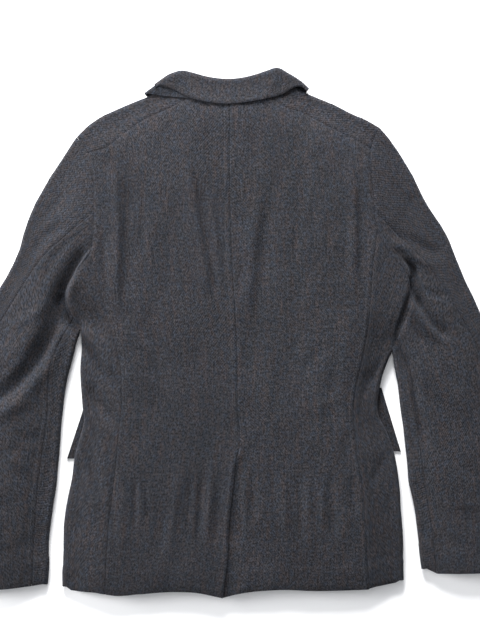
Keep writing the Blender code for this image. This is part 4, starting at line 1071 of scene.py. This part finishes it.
def make_sleeve(side, sizes):
    """Sleeve of two pieces: the strip between its seams, and the rest round both folds."""
    t, s = TABLES[side], SEAMS[side]
    rows_cap = N_SIDE_TOP + N_UNDERARM
    start = refined(s["cap_low"], FINE)
    first = s["hindarm"]
    last = chain(s["side_top"], s["underarm"], s["forearm"])
    cuff = stations(fine_line([first[-1], t["cuff_mid"], last[-1]]), N_CAP_LOW * FINE)
    under = patch(start, cuff, first, last, (SEAM_HALF, 0, SEAM_HALF, SEAM_HALF))
    points, normals = surface(top_height, under)
    cuff_line = stations(fine_line([s["sleeve_outer"][-1], first[-1], t["cuff_mid"], last[-1],
                                    s["sleeve_inner"][-1]]), 30)
    hem = (cuff_line, "hem", CUFF_DEPTH)
    lines = [(first[::3], "seam"), (s["forearm"][::3], "topstitch", SEAM_STITCH),
             (chain(s["cap_low"], s["side_top"], s["underarm"])[::2], "seam"), hem]
    points = relieved(points, normals, lines, sizes)
    sew("under_sleeve_" + side + "_cloth", points, normals, WALL, cloth_wool())
    outer, inner = s["sleeve_outer"], s["sleeve_inner"]
    cap = chain(s["cap_front"], s["cap_high"])
    wide = len(cap) - 1
    strip = patch(cap, refined(np.array([outer[-1], first[-1]]), wide), outer, first,
                  (SEAM_HALF, 0, 0, SEAM_HALF))[:, ::-1]
    low_last = chain(refined(s["floor_low"], 4 * FINER), inner)
    gap = np.where(np.arange(len(low_last)) <= rows_cap, SEAM_HALF, 0)
    lower = patch(s["floor_cap"], refined(np.array([outer[-1], inner[-1]]), N_FLOOR_CAP), outer,
                  low_last, (SEAM_HALF, 0, 0, gap))
    tail = patch(refined(s["tip"], 2), refined(np.array([last[-1], inner[-1]]), 2 * N_TIP),
                 s["forearm"], inner, (SEAM_HALF, 0, SEAM_HALF, 0))[:, ::-1]
    high, high_n = surface(top_height, strip)
    low, low_n = surface(lambda xy: 0 * xy[..., 0], lower, up=-1)
    end, end_n = surface(top_height, tail)
    a, a_n = rim(strip[:, -1], lower[:, 0], s["sleeve_outer_way"], high[:, -1, 2], low[:, 0, 2])
    b, b_n = rim(tail[:, 0], lower[rows_cap:, -1], s["sleeve_inner_way"], end[:, 0, 2],
                 low[rows_cap:, -1, 2])
    high = relieved(high, high_n, [(first[::3], "seam"), (cap[::2], "seam"), hem], sizes)
    end = relieved(end, end_n, [(s["forearm"][::3], "seam"), (s["tip"], "seam"), hem], sizes)
    a = relieved(a, a_n, [hem], sizes)
    b = relieved(b, b_n, [hem], sizes)
    low[..., 2] += hidden_relief(low[..., :2]) * ease(np.arange(low.shape[1]) / 6)
    count = len(first)
    spare = RIM_STEPS - 1 + end.shape[1]
    grid = np.concatenate([high, a.transpose(1, 0, 2), low, np.zeros((count, spare, 3))], axis=1)
    normal = np.concatenate([high_n, a_n.transpose(1, 0, 2), low_n, np.ones((count, spare, 3))], axis=1)
    at = grid.shape[1] - spare
    grid[rows_cap:, at:at + RIM_STEPS - 1] = b[::-1].transpose(1, 0, 2)
    normal[rows_cap:, at:at + RIM_STEPS - 1] = b_n[::-1].transpose(1, 0, 2)
    grid[rows_cap:, at + RIM_STEPS - 1:] = end
    normal[rows_cap:, at + RIM_STEPS - 1:] = end_n
    mask = np.ones((count - 1, grid.shape[1] - 1), bool)
    mask[:rows_cap, at - 1:] = False
    sew("top_sleeve_" + side + "_cloth", grid, normal, WALL, cloth_wool(), mask)


class BLAZER_OT_sleeves(bpy.types.Operator):
    """Two sleeves, each of an upper and an under piece, with their cuffs turned up inside"""

    bl_idname = "blazer.sleeves"
    bl_label = "Sleeves"

    def execute(self, context):
        for side in ("left", "right"):
            make_sleeve(side, context.scene.blazer_sizes)
        return {"FINISHED"}


def collar_grid(edge, depth, lines, sizes):
    """The fall from its edge to the roll, round the roll, and a strip inside it."""
    outline = stations(fine_line(COLLAR_OUTLINE), COLLAR_STEPS)
    a, b = nearest(outline, edge[0]), nearest(outline, edge[-1]) + 1
    line = outline[a:b]
    way = outward(outline, (0, 200))[a:b]
    start = line - way * FOLD_REACH
    fall_edge = stations(fine_line(edge), b - a - 1)
    share = np.linspace(0, 1, 3 * FINER + 1)[:, None, None]
    fall = fall_edge[None] * (1 - share) + start[None] * share
    inner = stations(fine_line(COLLAR_INNER), COLLAR_STEPS)[a:b]
    strip = start[None] * (1 - share) + inner[None] * share
    sides = ease((np.abs(line[:, 0] + 4) - 46) / 22)
    lift = FALL_LIFT + 2 * COLLAR_WALL + LAYER_GAP
    high, high_n = surface(lambda xy: top_height(xy) + lift, fall)
    back_low = high[-1, :, 2] - ROLL_DEPTH
    low_z = back_low * (1 - sides)
    end_z = (top_height(inner) - 2 * COLLAR_WALL - LAYER_GAP) * (1 - sides)
    low = np.concatenate([strip, (low_z + (end_z - low_z) * share[..., 0])[..., None]], axis=-1)
    low_n = np.zeros(low.shape)
    low_n[..., 2] = -1
    bend, bend_n = rim(start, start, way, high[-1, :, 2], low_z)
    high = high + high_n * (sewn_relief(fall, lines, sizes) + unevenness(fall, 26, 0.2))[..., None]
    points = np.concatenate([high, bend, low])
    normals = np.concatenate([high_n, bend_n, low_n])
    return points - normals * depth, normals


class BLAZER_OT_collar(bpy.types.Operator):
    """The top collar, folded over the under collar, whose edge shows below it at the left"""

    bl_idname = "blazer.collar"
    bl_label = "Collar"

    def execute(self, context):
        sizes = context.scene.blazer_sizes
        edge = fine_line(TOP_EDGE)[::4]
        points, normals = collar_grid(TOP_EDGE, 0, [(edge, "edgestitch", COLLAR_STITCH)], sizes)
        sew("top_collar_cloth", points, normals, COLLAR_WALL, cloth_wool())
        edge = fine_line(UNDER_EDGE)[::4]
        points, normals = collar_grid(UNDER_EDGE, COLLAR_WALL + LAYER_GAP, [], sizes)
        sew("under_collar_cloth", points, normals, COLLAR_WALL, felt_wool())
        return {"FINISHED"}


def flat_piece(name, first, last, wall, rows, columns, folded=False):
    """A plain piece on the table. A folded one rises at its last line to the front above it."""
    share = np.linspace(0, 1, columns + 1)[None, :, None]
    xy = stations(fine_line(first), rows)[:, None] * (1 - share)
    xy = xy + stations(fine_line(last), rows)[:, None] * share
    points, normals = surface(lambda at: 0 * at[..., 0], xy, up=-1)
    if folded:
        roof = low_height(xy[:, -1:], -1) - wall - LAYER_GAP
        points[..., 2] = roof * ease(share[..., 0])
    sew(name, points, normals, wall, cloth_wool())


class BLAZER_OT_lapels(bpy.types.Operator):
    """Two lapels, folded back onto the fronts and flat on the table"""

    bl_idname = "blazer.lapels"
    bl_label = "Lapels"

    def execute(self, context):
        for side in ("left", "right"):
            t = TABLES[side]
            flat_piece("lapel_" + side + "_cloth", t["lapel_outer"], t["lapel_roll"], LAPEL_WALL, 48, 24,
                       folded=True)
        return {"FINISHED"}


class BLAZER_OT_flaps(bpy.types.Operator):
    """Two pocket flaps, whose back corners stand out past the sides"""

    bl_idname = "blazer.flaps"
    bl_label = "Pocket flaps"

    def execute(self, context):
        for side in ("left", "right"):
            a, b, c, d = TABLES[side]["flap"]
            flat_piece("flap_" + side + "_cloth", [a, d], [b, c], FLAP_WALL, 24, 60)
        return {"FINISHED"}


def make_button(name, x, y):
    """A turned button: a profile swept round, with a dished face, a rolled rim and four holes.

    The holes are deep dimples: a drop of the face within one hole radius of each centre.
    """
    radius, thick = 10.0, 4.0
    r = np.r_[np.linspace(0, radius - 2.4, 22), np.linspace(radius - 2.2, radius - 0.7, 5)]
    dish = 0.75 * (1 - ease((r - (radius - 3.6)) / 1.6))
    r = np.r_[r, radius - 0.25, radius, radius, radius - 0.6, radius - 2, radius - 5, 0]
    z = np.r_[dish, 0.12, 0.6, thick - 0.9, thick - 0.25, thick, thick, thick]
    angle = np.linspace(0, 2 * math.pi, 96, endpoint=False)
    px, py = r[:, None] * np.cos(angle), r[:, None] * np.sin(angle)
    pz = np.broadcast_to(z[:, None], px.shape).copy()
    for hx, hy in ((2, 2), (-2, 2), (-2, -2), (2, -2)):
        gap = np.hypot(px - hx, py - hy)
        pz[:22] = np.maximum(pz[:22], z[:22, None] + 2.2 * ease((1.05 - gap[:22]) / 0.4))
    vertices = np.stack([px + x, py + y, pz], axis=-1)
    count = len(angle)
    poles = np.array([vertices[0, 0], vertices[-1, 0]])
    index = 2 + np.arange((len(r) - 2) * count).reshape(-1, count)
    after = np.roll(index, -1, axis=1)
    quads = np.stack([index[:-1], index[1:], after[1:], after[:-1]], axis=-1).reshape(-1, 4)
    low = np.stack([np.zeros(count, int), index[0], after[0]], axis=-1)
    high = np.stack([np.ones(count, int), after[-1], index[-1]], axis=-1)
    halves = np.concatenate([quads[:, :3], quads[:, [0, 2, 3]], low, high])
    points = np.vstack([poles, vertices[1:-1].reshape(-1, 3)])
    corner = points[halves]
    if np.einsum("ij,ij->i", corner[:, 0], np.cross(corner[:, 1], corner[:, 2])).sum() < 0:
        halves = halves[:, ::-1]
    colours = bpy.context.scene.blazer_colours
    made = mesh_of(name + "_horn", points, halves, horn("resin_horn", colours.horn, colours.horn_light))
    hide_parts(name)
    # Two crossing stitches through the holes
    way = np.array([[(-2.0, -2.0), (2.0, 2.0)], [(-2.0, 2.0), (2.0, -2.0)]]) + (x, y)
    beads(name + "_thread", way[:, 0], way[:, 1], np.array([1.1, 0.75]), 0.42, sag=-0.5)


class BLAZER_OT_buttons(bpy.types.Operator):
    """Two four-hole, horn-like buttons on the table side, sewn on with crossed thread"""

    bl_idname = "blazer.buttons"
    bl_label = "Buttons"

    def execute(self, context):
        make_button("button_upper", -2, 0)
        make_button("button_lower", -2, -105)
        return {"FINISHED"}


def beads(name, starts, ends, heights, radius, sag=0.0):
    """Stitches as one mesh: each a spindle of four rings of four points with a pole at each end."""
    middle = (starts + ends) / 2
    half = (ends - starts) / 2
    length = np.hypot(half[:, 0], half[:, 1])
    way = half / length[:, None]
    side = np.stack([-way[:, 1], way[:, 0]], axis=1)
    t = np.array([-1, -0.8, -0.3, 0.3, 0.8, 1.0])
    wide = np.array([0, 0.75, 1.0, 1.0, 0.75, 0])
    angle = np.arange(4) * math.pi / 2 + math.pi / 4
    points = []
    for k in range(6):
        centre = middle + half * t[k]
        drop = sag * t[k] ** 2
        for a in angle if 0 < k < 5 else angle[:1]:
            offset = side * (math.cos(a) * radius * wide[k])
            level = heights + math.sin(a) * radius * wide[k] - drop
            points.append(np.concatenate([centre + offset, level[:, None]], axis=1))
    points = np.stack(points, axis=1)
    faces = []
    for ring in range(3):
        for k in range(4):
            a, b = 1 + ring * 4 + k, 1 + ring * 4 + (k + 1) % 4
            faces += [(a, b, b + 4), (a, b + 4, a + 4)]
    for k in range(4):
        faces += [(0, 1 + (k + 1) % 4, 1 + k), (17, 13 + k, 13 + (k + 1) % 4)]
    faces = np.array(faces)
    whole = (faces[None] + 18 * np.arange(len(starts))[:, None, None]).reshape(-1, 3)
    vertices = points.reshape(-1, 3)
    corner = vertices[whole[:32]] - vertices[:18].mean(axis=0)
    if np.einsum("ij,ij->i", corner[:, 0], np.cross(corner[:, 1], corner[:, 2])).sum() < 0:
        whole = whole[:, ::-1]
    colours = bpy.context.scene.blazer_colours
    return mesh_of(name, vertices, whole, thread("sewing_thread", colours.thread))


def stitch_row(line, pitch, length):
    """Ends of evenly spaced stitches along a line."""
    run = np.r_[0, np.cumsum(np.hypot(*np.diff(line, axis=0).T))]
    at = np.arange(pitch / 2, run[-1] - pitch / 2, pitch)
    ends = [np.stack([np.interp(at + s * length / 2, run, line[:, k]) for k in range(2)], axis=1)
            for s in (-1, 1)]
    return ends


def beside(line, distance):
    """The line moved sideways, to its left when the distance is positive."""
    return line + left_normals(line) * distance


class BLAZER_OT_stitches(bpy.types.Operator):
    """Topstitching beside the centre, side and forearm seams, along the collar and across the vent"""

    bl_idname = "blazer.stitches"
    bl_label = "Topstitching"

    def execute(self, context):
        sizes = context.scene.blazer_sizes
        pitch, length = sizes.stitch_pitch * 1000, sizes.stitch_length * 1000
        rows = []
        for side in ("left", "right"):
            t, s = TABLES[side], SEAMS[side]
            rows.append(beside(s["side_seam"], t["side"] * -SEAM_STITCH))
            rows.append(beside(s["forearm"], t["side"] * SEAM_STITCH))
        rows.append(beside(SEAMS["left"]["centre"], CENTRE_STITCH))
        starts, ends, heights = [], [], []
        for line in rows:
            a, b = stitch_row(line, pitch, length)
            middle = (a + b) / 2
            starts.append(a)
            ends.append(b)
            heights.append(top_height(middle) + cloth_relief(middle, sizes) + 0.15)
        bar = bent(6, -175, -39, -185, 0)
        a, b = stitch_row(bar, pitch * 0.8, length * 0.8)
        starts.append(a)
        ends.append(b)
        heights.append(top_height((a + b) / 2) + cloth_relief((a + b) / 2, sizes) + 0.1)
        # Into the collar, away from the back below its edge
        edge = fine_line(TOP_EDGE)
        a, b = stitch_row(edge + outward(edge, (0, 200)) * COLLAR_STITCH, pitch, length)
        middle = (a + b) / 2
        starts.append(a)
        ends.append(b)
        heights.append(top_height(middle) + FALL_LIFT + 2 * COLLAR_WALL + LAYER_GAP
                       + unevenness(middle, 26, 0.2) - 0.25)
        beads("topstitching", np.vstack(starts), np.vstack(ends), np.concatenate(heights), 0.3, sag=0.25)
        return {"FINISHED"}


class BLAZER_OT_stage(bpy.types.Operator):
    """The pale table, the soft light from its upper end and the camera straight above"""

    bl_idname = "blazer.stage"
    bl_label = "Table, light and camera"

    def execute(self, context):
        colours = context.scene.blazer_colours
        side = np.array([(-1, -1), (1, -1), (1, 1), (-1, 1)]) * 3000.0
        corners = np.concatenate([side, np.full((4, 1), -0.4)], axis=1)
        mesh = bpy.data.meshes.new("table")
        mesh.from_pydata([tuple(p * 0.001) for p in corners], [], [(0, 1, 2, 3)])
        mesh.materials.append(table_top("painted_board", colours.table))
        table = bpy.data.objects.new("table", mesh)
        context.scene.collection.objects.link(table)
        world = bpy.data.worlds.new("daylight")
        world.use_nodes = True
        world.node_tree.nodes["Background"].inputs[0].default_value = (0.93, 0.96, 1.0, 1)
        world.node_tree.nodes["Background"].inputs[1].default_value = 0.36
        context.scene.world = world
        for name, place, size, power in (
            ("window", (-0.3, 2.5, 0.98), 1.1, 238),
            ("side_window", (-2.4, 0.4, 0.85), 1.0, 88),
            ("ceiling", (-0.2, 0.2, 3.2), 2.4, 24),
        ):
            lamp = bpy.data.lights.new(name, "AREA")
            lamp.shape = "SQUARE"
            lamp.size = size
            lamp.energy = power
            made = bpy.data.objects.new(name, lamp)
            made.location = place
            made.rotation_euler = Vector(place).to_track_quat("Z", "Y").to_euler()
            context.scene.collection.objects.link(made)
        view = bpy.data.cameras.new("camera")
        view.lens = 86.6
        view.sensor_width = 36.0
        view.clip_start = 0.05
        view.clip_end = 20
        camera = bpy.data.objects.new("camera", view)
        camera.location = (0.0101, 0.0182, 2.215)
        context.scene.collection.objects.link(camera)
        context.scene.camera = camera
        context.scene.view_settings.view_transform = "Standard"
        return {"FINISHED"}


class BlazerSizes(bpy.types.PropertyGroup):
    seam_depth: bpy.props.FloatProperty(
        name="Seam depth", description="How far the cloth turns down at a seam, in millimetres",
        default=0.7, min=0, max=1.5)
    crease_depth: bpy.props.FloatProperty(
        name="Crease depth", description="Share of the small creases' full height",
        default=1.0, min=0, max=1.5, subtype="FACTOR")
    stitch_pitch: bpy.props.FloatProperty(
        name="Stitch pitch", description="From one stitch to the next",
        default=0.0042, min=0.002, max=0.01, unit="LENGTH")
    stitch_length: bpy.props.FloatProperty(
        name="Stitch length", description="Visible length of one stitch",
        default=0.003, min=0.001, max=0.008, unit="LENGTH")


def colour(name, about, code):
    return bpy.props.FloatVectorProperty(name=name, description=about, default=linear(code),
                                         subtype="COLOR", size=3, min=0, max=1)


class BlazerColours(bpy.types.PropertyGroup):
    wool: colour("Wool", "Main colour of the cloth", "#262629")
    wool_brown: colour("Brown fibre", "Warm fibres in the mixture", "#362b27")
    wool_blue: colour("Blue fibre", "Cool fibres in the mixture", "#202731")
    felt: colour("Under collar", "Melton on the underside of the collar", "#202023")
    horn: colour("Horn", "Buttons", "#1d1a18")
    horn_light: colour("Horn streak", "Paler layers in the buttons", "#4a3b2e")
    thread: colour("Thread", "Sewing thread", "#2b2b30")
    table: colour("Table", "Painted board under the blazer", "#fbfbfc")


OPERATORS = (BLAZER_OT_stage, BLAZER_OT_backs, BLAZER_OT_sides, BLAZER_OT_fronts, BLAZER_OT_sleeves,
             BLAZER_OT_lapels, BLAZER_OT_flaps, BLAZER_OT_collar, BLAZER_OT_buttons, BLAZER_OT_stitches)


class BLAZER_PT_panel(bpy.types.Panel):
    bl_idname = "BLAZER_PT_panel"
    bl_label = "Blazer"
    bl_space_type = "VIEW_3D"
    bl_region_type = "UI"
    bl_category = "Blazer"

    def draw(self, context):
        layout = self.layout
        for group in (context.scene.blazer_sizes, context.scene.blazer_colours):
            column = layout.column(align=True)
            for key in group.__annotations__:
                column.prop(group, key)
        for each in OPERATORS:
            layout.operator(each.bl_idname)


CLASSES = (BlazerSizes, BlazerColours, *OPERATORS, BLAZER_PT_panel)


def register():
    for each in CLASSES:
        bpy.utils.register_class(each)
    bpy.types.Scene.blazer_sizes = bpy.props.PointerProperty(type=BlazerSizes)
    bpy.types.Scene.blazer_colours = bpy.props.PointerProperty(type=BlazerColours)


def unregister():
    del bpy.types.Scene.blazer_colours
    del bpy.types.Scene.blazer_sizes
    for each in reversed(CLASSES):
        bpy.utils.unregister_class(each)


def main():
    register()
    for each in OPERATORS:
        group, name = each.bl_idname.split(".")
        getattr(getattr(bpy.ops, group), name)()
    for name, cut in sorted(CUTS.items()):
        print("cut", name, *(round(v, 4) for v in cut))


if __name__ == "__main__":
    main()
